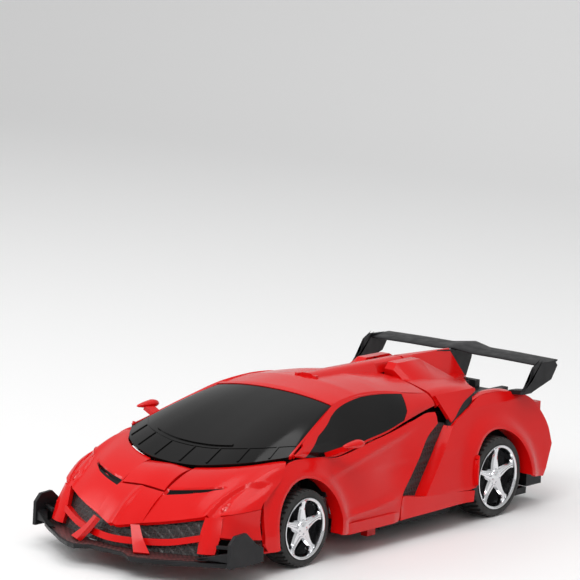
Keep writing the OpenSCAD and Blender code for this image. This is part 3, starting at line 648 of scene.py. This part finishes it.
class OBJECT_OT_car_nose(Operator):
    """Builds the nose shell, its vents, the bumper, grille, splitter and lamp dimples"""

    bl_idname = "object.car_nose"
    bl_label = "Nose"

    def execute(self, context):
        skin = context.scene.car_sizes.skin
        parts = both(shell(hood_grid(0, 1, -0.03, 1, 90, 60), skin))
        front = smooth([[-10.6, -100.2, 18.6], [-5.5, -102.6, 17.6], [0, -104.4, 16.8],
                        [5.5, -102.6, 17.6], [10.6, -100.2, 18.6]], 41)
        back = straight([[-10.6, -88.6, 27.9], [0, -88.6, 28.5], [10.6, -88.6, 27.9]], 41)
        g = ruled(back, front, 20, 1.1)
        g[..., 2] += 0.9 * np.exp(-(g[..., 0] / 1.3) ** 2) * np.linspace(0.2, 0.9, 20)[None, :]
        parts.append(shell(g, skin))
        piece("nose_shell", parts, "chest", "red_panel", ["hood_shell"])

        s = np.linspace(0.012, 0.35, 40)
        mid, half = vent(s)
        t = mid[:, None] + (half - 0.008)[:, None] * np.linspace(-1, 1, 8)[None, :]
        v = hood_point(s[:, None] + 0 * t, t)
        v = v + normals_up(v) * 0.12
        piece("hood_vents", both(shell(v, 0.8)), "chest", "black_plastic",
              finish="smoke_window")

        corner_top = smooth([[36.6, -87.8, 23.2], [39.4, -85.2, 23.9], [42.4, -80.8, 24.6],
                             [44.3, -75.2, 25.2]], 30)
        corner_low = smooth([[38.8, -91.2, 16.8], [41.8, -86.8, 16.0], [44.0, -81, 15.2],
                             [45.2, -75.4, 14.4]], 30)
        g = ruled(corner_top, corner_low, 16)
        g[..., 0] -= (0.7 * np.sin(np.linspace(0, math.pi, 16)))[None, :]
        fang_in = smooth([[32.0, -91.0, 22.8], [31.5, -93.0, 17], [31.9, -94.9, 10.4]], 20)
        fang_out = smooth([[37.4, -88.0, 23.4], [38.8, -90.6, 17.2], [38.7, -93.4, 10.9]], 20)
        fang = ruled(fang_in, fang_out, 10)
        fang[..., 1] -= (0.8 * np.sin(np.linspace(0, math.pi, 10)))[None, :]
        parts = both(shell(g, 1.4, (30, -80, 15)), shell(fang, 2.0, (20, -60, 16)))
        line = smooth([[-32.6, -93.4, 15.8], [-22, -98.2, 13.3], [-10, -102.6, 12.4],
                       [0, -104.2, 12.1], [10, -102.6, 12.4], [22, -98.2, 13.3],
                       [32.6, -93.4, 15.8]], 61)
        half = np.array([0, 0.35, 1.15])
        parts.append(shell(ruled(line + half, line - half, 5), 2.4, (0, -60, 12)))
        arm_a = smooth([[8.1, -103.4, 18.2], [10.4, -105.2, 14.2], [13.4, -107.6, 9.8]], 16)
        arm_b = smooth([[10.8, -101.6, 18.2], [14.0, -103.2, 14.0], [18.6, -104.9, 9.8]], 16)
        parts += both(shell(ruled(arm_a, arm_b, 6), 1.8, (0, -60, 14)))
        piece("bumper", parts, "chest", "red_panel", ["front_bumper"])

        a = smooth([[0, -101.6, 16.2], [15, -96.2, 18.6], [28, -90.4, 21.0], [35, -87.0, 22.0]], 40)
        b = smooth([[0, -103.4, 9.2], [15, -100.6, 9.2], [28, -95.4, 9.2], [38, -90.6, 9.2]], 40)
        piece("grille", both(shell(ruled(a, b, 20), 1.0, (0, -60, 14))), "chest",
              "black_plastic", ["grille_mesh"], finish="mesh")

        outer = straight([[0, -106.6, 0], [7.4, -106.6, 0], [12.8, -109.9, 0], [17, -109, 0],
                          [23.6, -105.8, 0], [31, -100.8, 0], [38, -96.2, 0], [44.4, -91.4, 0],
                          [46.2, -87, 0], [46.2, -76.6, 0]], 90)
        inner = straight([[0, -102.6, 0], [7, -102.6, 0], [11.6, -102.4, 0], [14, -100.6, 0],
                          [20, -97, 0], [25.6, -94, 0], [26.4, -90, 0], [27, -86, 0],
                          [27.2, -81, 0], [27.2, -76.6, 0]], 90)
        g = ruled(inner, outer, 14)
        g[..., 2] = 9.2 - 0.9 * np.linspace(0, 1, 14)[None, :] ** 3
        blade = shell(g, 1.8, (20, -90, -300))
        outline = ((-94.8, 7.2), (-94.6, 15.8), (-91.8, 18.6), (-86, 18.9), (-80.4, 14.2),
                   (-76.4, 12.2), (-76.2, 7.2))
        plate = slab(outline + outline[:1], 45.5, 46.9)
        foot = loft([[[33.6, -97.6, 9.2], [36.2, -98.4, 9.2], [36.2, -98.2, 9.4], [33.6, -97.4, 9.4]],
                     [[45.6, -94.2, 9.2], [45.6, -88.4, 9.2], [45.6, -88.4, 12.6],
                      [45.6, -94.0, 12.6]]])
        rung = bar((38.8, -92.6, 13.6), (46.0, -88.8, 13.6), 1.4, 1.2)
        piece("splitter", both(blade, plate, foot, rung), "chest", "black_plastic",
              ["front_splitter"], bevel=0.2)
        g = ruled(inner, outer, 14)[:, 1:13]
        g[..., 2] = 9.28 - 0.9 * np.linspace(1 / 13, 12 / 13, 12)[None, :] ** 3
        piece("splitter_weave", both(shell(g, 0.3, (20, -90, -300))), "chest", "black_plastic",
              finish="weave")

        spot = hood_point(np.array([[0.535]]), np.array([[0.86]]))[0, 0]
        eye = ring_solid([(-0.5, 0.0), (-0.5, 1.25), (0.1, 1.35), (0.35, 1.1), (0.5, 0.6),
                          (0.55, 0.0)], 24)
        turn = np.array(Matrix.Rotation(math.radians(-58), 3, "Y")
                        @ Matrix.Rotation(math.radians(-35), 3, "Z"))
        piece("headlamps", both((eye[0] @ turn.T + spot + [0.1, -0.1, 0.1], eye[1])),
              "chest", "red_lens", ["headlights"])
        return {"FINISHED"}


class OBJECT_OT_car_doors(Operator):
    """Builds both doors with their front fenders, sills and mirrors"""

    bl_idname = "object.car_doors"
    bl_label = "Doors"

    def execute(self, context):
        skin = context.scene.car_sizes.skin
        arch = arc(FRONT_AXLE, ARCH_FRONT, 194, -14, 61)
        low = np.vstack([straight([[-74.3, 9.4], [-68.2, 9.4]], 8), arch,
                         straight([[-30.9, 9.2], [3.7, 9.3]], 26)[1:],
                         smooth([[3.7, 9.3], [6.4, 17], [15.8, 24.6], [25.9, 35.4],
                                 [35, 40.4]], 30)[1:]])
        u = np.concatenate([np.linspace(0, 2.2, 8), np.linspace(2.3, 11.2, 61),
                            np.linspace(11.2, 14.5, 26)[1:], np.linspace(14.5, 19, 30)[1:]])
        top = smooth([[-74.1, 10.4], [-73.8, 17.7], [-73.2, 23], [-71.8, 27.4], [-67.4, 30.3],
                      [-61.2, 33.3], [-57.6, 36.8], [-52, 38.6], [-44, 38.2], [-36, 37.3],
                      [-28, 36.5], [-21, 36.9], [-13, 38.0], [-5, 39.2], [3, 40.2], [10, 41.3],
                      [17, 42.5], [24, 43.7], [30, 44.6], [35.4, 44.4]], 400)
        k = np.linspace(0, 19, 400)
        top = np.stack([np.interp(u, k, top[:, c]) for c in range(2)], 1)
        panel = shell(side_panel(low, top, 36), skin, (0, 0, 24))
        lip = ruled(on_side(arch), on_side(arch) - [5.5, 0, 0], 6)
        well = shell(lip, 0.9, (60, FRONT_AXLE[0], FRONT_AXLE[1]))
        a = straight([[44.6, -29.6, 12.6], [46.2, -27, 12.8], [46.6, 0, 12.8], [46.0, 3.2, 12.4]], 30)
        b = straight([[44.2, -29.0, 8.6], [46.0, -26.6, 8.6], [46.2, 0, 8.7], [45.6, 3.2, 8.8]], 30)
        sill = shell(ruled(a, b, 8), 1.8, (0, -10, 7))
        head = self.mirror_head()
        stalk = bar((39.0, -31.5, 38.0), (48.6, -31.0, 42.2), 4.2, 1.8)
        parts = [panel, well, sill, head, stalk]
        for side, sign in (("left", 1), ("right", -1)):
            use = parts if sign > 0 else [mirrored(p) for p in parts]
            piece(f"door_panel_{side}", use, f"door_body_{side}", "red_panel",
                  [f"door_{side}"])
        return {"FINISHED"}

    @staticmethod
    def mirror_head():
        """A teardrop: ellipse sections that shrink towards the front, along the car."""
        y = np.linspace(-36.4, -25.6, 22)
        f = (y + 36.4) / 10.8
        r = np.sqrt(np.clip(f, 0.004, 1)) * np.clip(1.12 - f ** 6 * 0.5, 0, 1)
        a = np.linspace(0, 2 * math.pi, 28, endpoint=False)
        x = 49.3 + 2.65 * r[:, None] * np.cos(a)
        z = 43.0 + 1.75 * r[:, None] * np.sin(a)
        return loft(np.stack([x, y[:, None] + 0 * x, z], 2))


class OBJECT_OT_car_rear(Operator):
    """Builds the rear fenders, quarter panels, central fin, sills and side intakes"""

    bl_idname = "object.car_rear"
    bl_label = "Rear body"

    def execute(self, context):
        skin = context.scene.car_sizes.skin
        arch = arc(REAR_AXLE, ARCH_REAR, 182, -4, 61)
        low = np.vstack([smooth([[20.6, 15.6], [34, 14.6], [48.6, 14.2]], 14)[:-1], arch,
                         straight([[87.8, 13.5], [96, 12.4]], 8)[1:]])
        u = np.concatenate([np.linspace(0, 2.6, 14)[:-1], np.linspace(2.6, 10.0, 61),
                            np.linspace(10.0, 11, 8)[1:]])
        top = smooth([[43.6, 38.2], [47.8, 40.2], [53.4, 42.2], [59.3, 44.6], [65, 46.3],
                      [70, 46.7], [75, 46.7], [85, 45.9], [92, 44.2], [98, 40.6], [102.6, 33],
                      [103.8, 24]], 300)
        k = np.linspace(0, 11, 300)
        top = np.stack([np.interp(u, k, top[:, c]) for c in range(2)], 1)
        fender = shell(side_panel(low, top, 36), skin, (0, 60, 24))
        lip = ruled(on_side(arch), on_side(arch) - [6.5, 0, 0], 6)
        well = shell(lip, 0.9, (60, REAR_AXLE[0], REAR_AXLE[1]))
        a = on_side(smooth([[5.2, 14.4], [7.4, 17.2], [12, 16.8], [20.6, 15.6], [49, 13.8]], 60))
        b = on_side(smooth([[4.8, 8.9], [8, 9.0], [14, 9.1], [24, 9.2], [48.6, 9.6]], 60))
        sill = shell(ruled(a, b, 8), 2.0, (0, 20, 8))
        pillar_a = on_side(smooth([[5.4, 14.6], [7.6, 17.0], [12, 16.6], [20.6, 15.5]], 20))
        pillar_b = pillar_a - [3.4, 0, 0]
        ledge = shell(ruled(pillar_a, pillar_b, 4), 1.0, (20, 16, 6))

        qa = smooth([[9.6, 43.4, 52.9], [17, 43.2, 52.3], [24, 42.8, 50.8], [28.6, 42.4, 49.4],
                     [32.6, 42.2, 45.2]], 40)
        qb = smooth([[9.6, 92, 47.6], [14, 84, 48.4], [20, 77, 48.9], [26, 71, 48.9],
                     [31.2, 67.6, 48.6]], 40)
        quarter = shell(ruled(qa, qb, 30, 0.7), skin, (0, 60, 20))
        facet_a = straight([[31.2, 42.4, 49.0], [37.4, 45.4, 39.2]], 14)
        facet_b = straight([[31.6, 67.2, 48.9], [31.8, 67.6, 48.0]], 14)
        facet = shell(ruled(facet_a, facet_b, 30), 1.4, (0, 60, 30))
        da = on_side(smooth([[41.6, 36.6], [47.3, 39.6], [55, 42.6], [65, 45.8]], 30)) - [1.6, 0, 0]
        db = smooth([[36.0, 44.6, 40.2], [34.6, 50, 42.4], [33.0, 58, 45.6], [31.4, 66, 48.0]], 30)
        flank = shell(ruled(da, db, 8), 1.0, (0, 60, 30))
        yy = np.array([44.3, 46.5, 61.0, 76.0])
        drop = np.array([2.4, 0.0, 0.0, 7.6])
        cheek = loft([[[5.3, y, 49.0], [5.3, y, 57.9 - d], [9.5, y, 57.8 - d],
                       [17.5, y, 51.0 - 0.3 * d],
                       [17.0, y, 48.6 - 0.3 * d], [5.3, y, 48.4 - 0.3 * d]]
                      for y, d in zip(yy, drop)])
        ta = on_side(smooth([[60, 45.6], [70, 46.9], [84, 45.8], [98, 40.0]], 40))
        tb = smooth([[31.6, 66, 46.0], [29.6, 76, 46.6], [29.8, 88, 45.4], [31.6, 98, 40.4]], 40)
        shoulder = shell(ruled(ta, tb, 8, 0.4), 1.4, (0, 80, 20))

        y = np.linspace(59.6, 92.4, 24)
        f = (y - y[0]) / (y[-1] - y[0])
        fin = self.fin(y, 3.2 - 2.6 * f, 5.0 + 3.2 * f, 57.9 - 0.9 * f, 50.6 - 3.0 * f)
        parts = both(fender, well, sill, ledge, quarter, shoulder, facet, cheek)
        parts.append(fin)
        piece("rear_fenders", parts, "base", "red_panel", ["rear_body_shell"])
        piece("rear_grooves", both(flank), "base", "black_plastic")

        ma = on_side(straight([[34.8, 40.6], [44.4, 38.8]], 24)) - [3.6, 0, 0]
        mb = on_side(straight([[6.4, 14.4], [22.6, 14.4]], 24)) - [4.4, 0, 0]
        grille = shell(ruled(ma, mb, 24), 1.0, (0, 25, 25))
        ra = on_side(straight([[43.6, 38.2], [20.6, 15.6]], 24))
        rear_wall = shell(ruled(ra, ra - [4.6, 1.2, 0], 5), 0.9, (38, 60, 25))
        piece("intake_mesh", both(grille), "base", "black_plastic", ["side_meshes"],
              finish="mesh")
        piece("intake_walls", both(rear_wall), "base", "red_panel")
        return {"FINISHED"}

    @staticmethod
    def fin(y, top, low, z_top, z_low):
        """A ridge of four-cornered sections with rounded shoulders, lofted along the car."""
        x = np.stack([-low, -top, -top * 0.6, top * 0.6, top, low], 1)
        z = np.stack([z_low, z_top - 0.7, z_top, z_top, z_top - 0.7, z_low], 1)
        return loft(np.stack([x, y[:, None] + 0 * x, z], 2))


class OBJECT_OT_car_roof(Operator):
    """Builds the roof shell with its pillars and scoop, the windscreen and side glazing"""

    bl_idname = "object.car_roof"
    bl_label = "Roof"

    def execute(self, context):
        skin = context.scene.car_sizes.skin
        x, y = np.meshgrid(np.linspace(-27.8, 27.8, 61), np.linspace(-14.8, 41, 50))
        roof = shell(np.stack([x, y, roof_height(x, y)], 2), skin, (0, 10, 20))
        pillar = shell(screen_grid(0.925, 1.0, 0.0, 1.0, 8, 60, 0.35), 1.5)
        header = shell(screen_grid(-0.99, 0.99, 0.955, 1.0, 60, 5, 0.3), 1.4)
        corner = shell(cabin_side(0.0, 0.085, 0.0, 0.86, 12, 10, 0.2), 1.4)
        belt = shell(cabin_side(0.08, 0.80, 0.0, 0.05, 60, 4, 0.2), 1.2)
        v = np.linspace(0.0, 0.98, 16)[None, :]
        rear = glass_rear(v)
        uu = rear - 0.005 + (1.0 - rear) * np.linspace(0, 1, 24)[:, None]
        quarter = shell(cabin_point(uu, v + 0 * uu, 0.25), 1.4)
        w = np.linspace(0.075, 0.80, 80)[:, None]
        edge = np.interp(w, [0.075, 0.10, 0.13, 0.18, 0.30, 0.42, 0.5, 0.8],
                         [0.0, 0.08, 0.38, 0.73, 0.875, 0.925, 0.945, 0.945])
        rim = edge + (1.02 - edge) * np.linspace(0, 1, 8)[None, :]
        rail = shell(cabin_point(w + 0 * rim, rim, 0.25), 1.4)
        a = smooth([[-9.9, -72.9, 33.9], [0, -73.1, 34.4], [9.9, -72.9, 33.9]], 21)
        b = smooth([[-9.9, -87.9, 28.4], [0, -87.9, 29.0], [9.9, -87.9, 28.4]], 21)
        flap = shell(ruled(a, b, 16, 1.5), 1.4)
        yy = np.linspace(3.0, 40.9, 24)
        f = (yy - yy[0]) / (yy[-1] - yy[0])
        scoop = OBJECT_OT_car_rear.fin(yy, 3.4 - 0.4 * f, 5.4 + 0 * f, 58.1 + 0.1 * f - 0.2 * f ** 2,
                                       roof_height(0 * yy, yy) - 1.0)
        yy = np.linspace(41.0, 58.6, 12)
        f = (yy - yy[0]) / (yy[-1] - yy[0])
        bridge = OBJECT_OT_car_rear.fin(yy, 3.0 + 0 * f, 4.5 + 0 * f, 58.0 - 0.1 * f, 53.8 + 0 * f)
        lips = both(block(3.5, 5.2, 2.2, 4.2, 55.2, 57.6, 0.2))
        parts = [roof, header, flap, scoop, bridge] + lips
        parts += both(pillar, rail, corner, belt, quarter)
        piece("roof_panel_shell", parts, "roof_panel", "red_panel", ["roof_shell"])
        g = screen_grid(-0.935, 0.935, 0.0, 0.965, 90, 60)
        ribs = [shell(screen_grid(s - 0.006, s + 0.006, 0.02, 0.17, 3, 10, 0.35), 0.8)
                for s in (-0.62, -0.42, -0.2, 0.05, 0.28, 0.5, 0.7)]
        blade = [shell(screen_grid(-0.45, 0.35, 0.205, 0.222, 30, 3, 0.45), 0.7)]
        cowl = [shell(screen_grid(-0.9, 0.9, 0.175, 0.185, 60, 3, 0.2), 0.6)]
        piece("windscreen_glazing", [shell(g, 1.4)] + ribs + blade + cowl, "roof_panel",
              "smoke_window", ["windscreen"])
        window = shell(window_grid(70, 14), 1.2)
        piece("side_glazing", both(window), "roof_panel", "smoke_window", ["side_windows"])
        return {"FINISHED"}


class OBJECT_OT_car_wheels(Operator):
    """Builds four treaded tyres and plated star rims"""

    bl_idname = "object.car_wheels"
    bl_label = "Wheels"

    def execute(self, context):
        sizes = context.scene.car_sizes
        for end, axle, x0, r, w, ri in WHEELS:
            place = [x0, axle[0], axle[1]]
            tyre = [(v + place, f) for v, f in self.tyre(r, w, ri, sizes.lugs)]
            rim = [(v + place, f) for v, f in self.rim(ri, w, sizes.spokes)]
            back = [(v + place, f) for v, f in self.drum(ri)]
            for side in ("left", "right"):
                flip = (lambda p: p) if side == "left" else mirrored
                body = f"wheel_{end}_{side}"
                piece(f"tyre_{end}_{side}", [flip(p) for p in tyre], body, "tyre",
                      [f"{end}_tyre_{side}"])
                piece(f"rim_{end}_{side}", [flip(p) for p in rim], body, "plated_rim",
                      [f"{end}_rim_{side}"])
                piece(f"drum_{end}_{side}", [flip(p) for p in back], body, "black_plastic")
        return {"FINISHED"}

    @staticmethod
    def tyre(r, w, ri, lugs):
        """A tyre section turned about its axle; tread blocks are left where a square wave
        of the angle, skewed across the width, is high, with a groove round the middle."""
        edge = np.linspace(0.9, w - 0.9, 27)
        crown = r - 0.35 * (2 * (edge - w / 2) / w) ** 4
        prof = [(0.7, ri - 0.4), (0.25, ri + 0.5), (0.0, ri + 1.3), (0.1, r - 1.3), (0.4, r - 0.6)]
        prof += list(zip(edge, crown))
        prof += [(w - 0.4, r - 0.6), (w - 0.1, r - 1.3), (w, ri + 1.3), (w - 0.25, ri + 0.5),
                 (w - 0.7, ri - 0.4), (w - 1.4, ri - 0.7), (1.4, ri - 0.7)]

        def wobble(a, x, rr):
            on_tread = rr > r - 0.45
            skew = np.abs(x - w / 2) / w * 0.9
            block_wave = np.sin(a * lugs + skew * 7.0 + (x > w / 2) * math.pi)
            cut = 0.75 / (1 + np.exp(-(block_wave - 0.45) * 14))
            groove = 0.6 * np.exp(-((x - w / 2) / 0.45) ** 2)
            return np.where(on_tread, -np.maximum(cut, groove), 0.0)

        return [ring_solid(prof, lugs * 10, wobble)]

    @staticmethod
    def rim(ri, w, spokes):
        """Outer lip and barrel turned about the axle, a hub with nuts, and star spokes that
        narrow outward and are ridged along their middle."""
        lip = ring_solid([(0.8, ri - 0.9), (0.8, ri - 0.5), (w - 1.2, ri - 0.5), (w - 0.5, ri - 0.1),
                          (w + 0.0, ri + 0.2), (w + 0.1, ri - 0.1), (w - 0.3, ri - 0.75),
                          (w - 1.6, ri - 1.05), (2.0, ri - 1.4)], 96)
        hub = ring_solid([(w - 4.0, 1.5), (w - 4.0, 3.0), (w - 1.6, 3.3), (w - 0.9, 2.9),
                          (w - 0.7, 1.4), (w - 0.5, 0.9), (w - 0.5, 0.05), (w - 1.4, 0.05),
                          (w - 1.4, 1.4)], 48)
        parts = [lip, hub]
        f = np.linspace(0, 1, 16)
        rad = 2.2 + (ri - 2.9) * f
        half = 1.15 + 1.15 * np.cos(f * math.pi * 0.62) ** 2 + 1.3 * np.clip(f - 0.82, 0, 1) * 4
        face = w - 1.0 + 0.25 * f - 0.9 * np.sin(f * math.pi) * 0.5
        cross = np.array([[-1, -0.9], [-0.72, -0.15], [-0.3, -0.02], [-0.12, -0.3], [0.12, -0.3],
                          [0.3, -0.02], [0.72, -0.15], [1, -0.9], [0.8, -2.6], [-0.8, -2.6]])
        x = face[:, None] + cross[None, :, 1]
        t = half[:, None] * cross[None, :, 0]
        bolt = ring_solid([(w - 1.2, 0.02), (w - 1.2, 0.42), (w - 0.55, 0.38), (w - 0.4, 0.02)], 10)
        for a in np.arange(spokes) * 2 * math.pi / spokes + math.pi / 2:
            c, s = math.cos(a), math.sin(a)
            rr = rad[:, None]
            parts.append(loft(np.stack([x, rr * c - t * s, rr * s + t * c], 2)))
            b = a + math.pi / spokes
            parts.append((bolt[0] + [0, 2.2 * math.cos(b), 2.2 * math.sin(b)], bolt[1]))
        return parts

    @staticmethod
    def drum(ri):
        """Dark disc behind the spokes."""
        return [ring_solid([(2.4, 1.7), (2.4, ri - 1.6), (3.2, ri - 1.6), (3.6, ri - 4.5),
                            (4.6, ri - 5.5), (4.6, 1.7)], 64)]


class OBJECT_OT_car_wing(Operator):
    """Builds the rear wing with its end plates and centre fin"""

    bl_idname = "object.car_wing"
    bl_label = "Wing"

    def execute(self, context):
        x = np.linspace(-41.4, 41.4, 61)
        peak = np.clip(1 - np.abs(x) / 9.0, 0, 1)
        a = np.linspace(0, 2 * math.pi, 24, endpoint=False)
        chord = 6.4 + 1.6 * peak
        mid = 102.2 + 1.0 * peak + 0 * x
        z0 = 55.6 + 1.0 * peak - 0.7 * np.clip(np.abs(x) / 41 - 0.55, 0, 1)
        y = mid[:, None] - chord[:, None] * np.cos(a)[None, :]
        z = z0[:, None] + 0.85 * np.sin(a)[None, :] + 0.9 * ((np.cos(a)[None, :] * -1 + 1) / 2) ** 2
        blade = loft(np.stack([x[:, None] + 0 * y, y, np.minimum(z, 58.3)], 2))
        outline = [(92.0, 54.9), (95.9, 56.8), (105.4, 56.4), (107.2, 54.4), (103.4, 49.2),
                   (90.0, 45.4), (84.0, 45.4), (90.6, 50.0)]
        plate = slab(outline, 40.8, 42.3)
        post = [(87.3, 49.6), (91.2, 45.6), (102.5, 42.6), (106.6, 51.7), (107.6, 56.0), (93.5, 56.2)]
        fin = slab(post, -1.3, 1.3)
        foot_in = [(85.6, 44.4), (91.0, 44.4), (91.0, 46.0), (85.6, 46.2)]
        foot = slab(foot_in, 34.4, 42.0, 0.8)
        piece("wing_blade", [blade, fin] + both(plate, foot), "base", "black_plastic",
              ["rear_wing"], bevel=0.3)
        return {"FINISHED"}


class OBJECT_OT_car_studio(Operator):
    """Sets the pale floor, soft lights and the camera"""

    bl_idname = "object.car_studio"
    bl_label = "Studio"

    def execute(self, context):
        scene = context.scene
        settings = scene.car_studio
        n = 60
        s = np.linspace(-1, 1, n)
        gx, gy = np.meshgrid(s * 1.6, s * 1.6, indexing="ij")
        rise = np.clip(gy - 0.9, 0, 1) ** 2 * 1.2
        v = np.stack([gx, gy, rise], 2).reshape(-1, 3)
        mesh = bpy.data.meshes.new("studio_floor")
        mesh.from_pydata(v, [], grid_faces(n, n)[:, ::-1])
        mesh.shade_smooth()
        f = Finish("studio_white", (0.93, 0.93, 0.93), 0.55)
        f.bump(f.noise(40), 0.02)
        mesh.materials.append(f.mat)
        floor = bpy.data.objects.new("studio_floor", mesh)
        scene.collection.objects.link(floor)

        world = bpy.data.worlds.new("soft_white")
        world.use_nodes = True
        sky = world.node_tree.nodes["Background"]
        sky.inputs["Color"].default_value = (1, 1, 1, 1)
        sky.inputs["Strength"].default_value = WORLD_STRENGTH
        scene.world = world
        scene.view_settings.view_transform = "Standard"
        self.light("key", (0.35, -0.75, 0.95), 0.55, settings.key)
        self.light("fill", (-0.85, -0.45, 0.6), 0.6, settings.key * 0.55)
        self.light("top", (0.0, 0.15, 1.1), 0.8, settings.key * 0.6)
        self.camera(scene, settings.lens)
        return {"FINISHED"}

    @staticmethod
    def light(name, where, size, power):
        """A square area light aimed at the car."""
        data = bpy.data.lights.new(name, "AREA")
        data.energy = power
        data.size = size
        lamp = bpy.data.objects.new(name, data)
        lamp.location = where
        lamp.rotation_euler = (-Vector(where)).to_track_quat("-Z", "Y").to_euler()
        bpy.context.scene.collection.objects.link(lamp)

    @staticmethod
    def camera(scene, lens_mm):
        """A long lens from the front left, a little above the floor; the car stands low in
        the frame because the line of sight is raised by a small angle."""
        az, el, roll = map(math.radians, (CAMERA_AZIMUTH, CAMERA_ELEVATION, CAMERA_ROLL))
        back = Vector((math.sin(az) * math.cos(el), -math.cos(az) * math.cos(el), math.sin(el)))
        right = Vector((math.cos(az), math.sin(az), 0))
        up = back.cross(right)
        right, up = (right * math.cos(roll) + up * math.sin(roll),
                     up * math.cos(roll) - right * math.sin(roll))
        turn = Matrix((right, up, back)).transposed()
        turn = (turn @ Matrix.Rotation(math.radians(CAMERA_RAISE), 3, "X")
                @ Matrix.Rotation(math.radians(CAMERA_SIDE), 3, "Y"))
        data = bpy.data.cameras.new("camera")
        data.lens = lens_mm
        data.sensor_width = 36
        data.clip_end = 20
        cam = bpy.data.objects.new("camera", data)
        spot = Vector(CAMERA_TARGET) + back * CAMERA_DISTANCE
        cam.matrix_world = Matrix.Translation(spot) @ turn.to_4x4()
        scene.collection.objects.link(cam)
        scene.camera = cam


class VIEW3D_PT_robot_car(Panel):
    """Lists the sizes, colours and pieces of the robot car"""

    bl_label = "Robot Car"
    bl_space_type = "VIEW_3D"
    bl_region_type = "UI"
    bl_category = "Robot Car"

    def draw(self, context):
        layout = self.layout
        for group in (context.scene.car_paint, context.scene.car_sizes, context.scene.car_studio):
            for prop in group.__annotations__:
                layout.prop(group, prop)
        for op in OPERATORS:
            layout.operator(op.bl_idname)


GROUPS = (CarPaint, CarSizes, StudioSettings)
OPERATORS = (OBJECT_OT_car_finishes, OBJECT_OT_car_nose, OBJECT_OT_car_doors, OBJECT_OT_car_rear,
             OBJECT_OT_car_roof, OBJECT_OT_car_wheels, OBJECT_OT_car_wing, OBJECT_OT_car_studio)


def register():
    """Registers the groups, the operators and the panel."""
    for cls in (*GROUPS, *OPERATORS, VIEW3D_PT_robot_car):
        bpy.utils.register_class(cls)
    bpy.types.Scene.car_paint = PointerProperty(type=CarPaint)
    bpy.types.Scene.car_sizes = PointerProperty(type=CarSizes)
    bpy.types.Scene.car_studio = PointerProperty(type=StudioSettings)


def unregister():
    """Removes what register added."""
    del bpy.types.Scene.car_paint, bpy.types.Scene.car_sizes, bpy.types.Scene.car_studio
    for cls in reversed((*GROUPS, *OPERATORS, VIEW3D_PT_robot_car)):
        bpy.utils.unregister_class(cls)


def main():
    """Builds everything in order."""
    register()
    for op in OPERATORS:
        group, name = op.bl_idname.split(".")
        getattr(getattr(bpy.ops, group), name)()


if __name__ == "__main__":
    main()
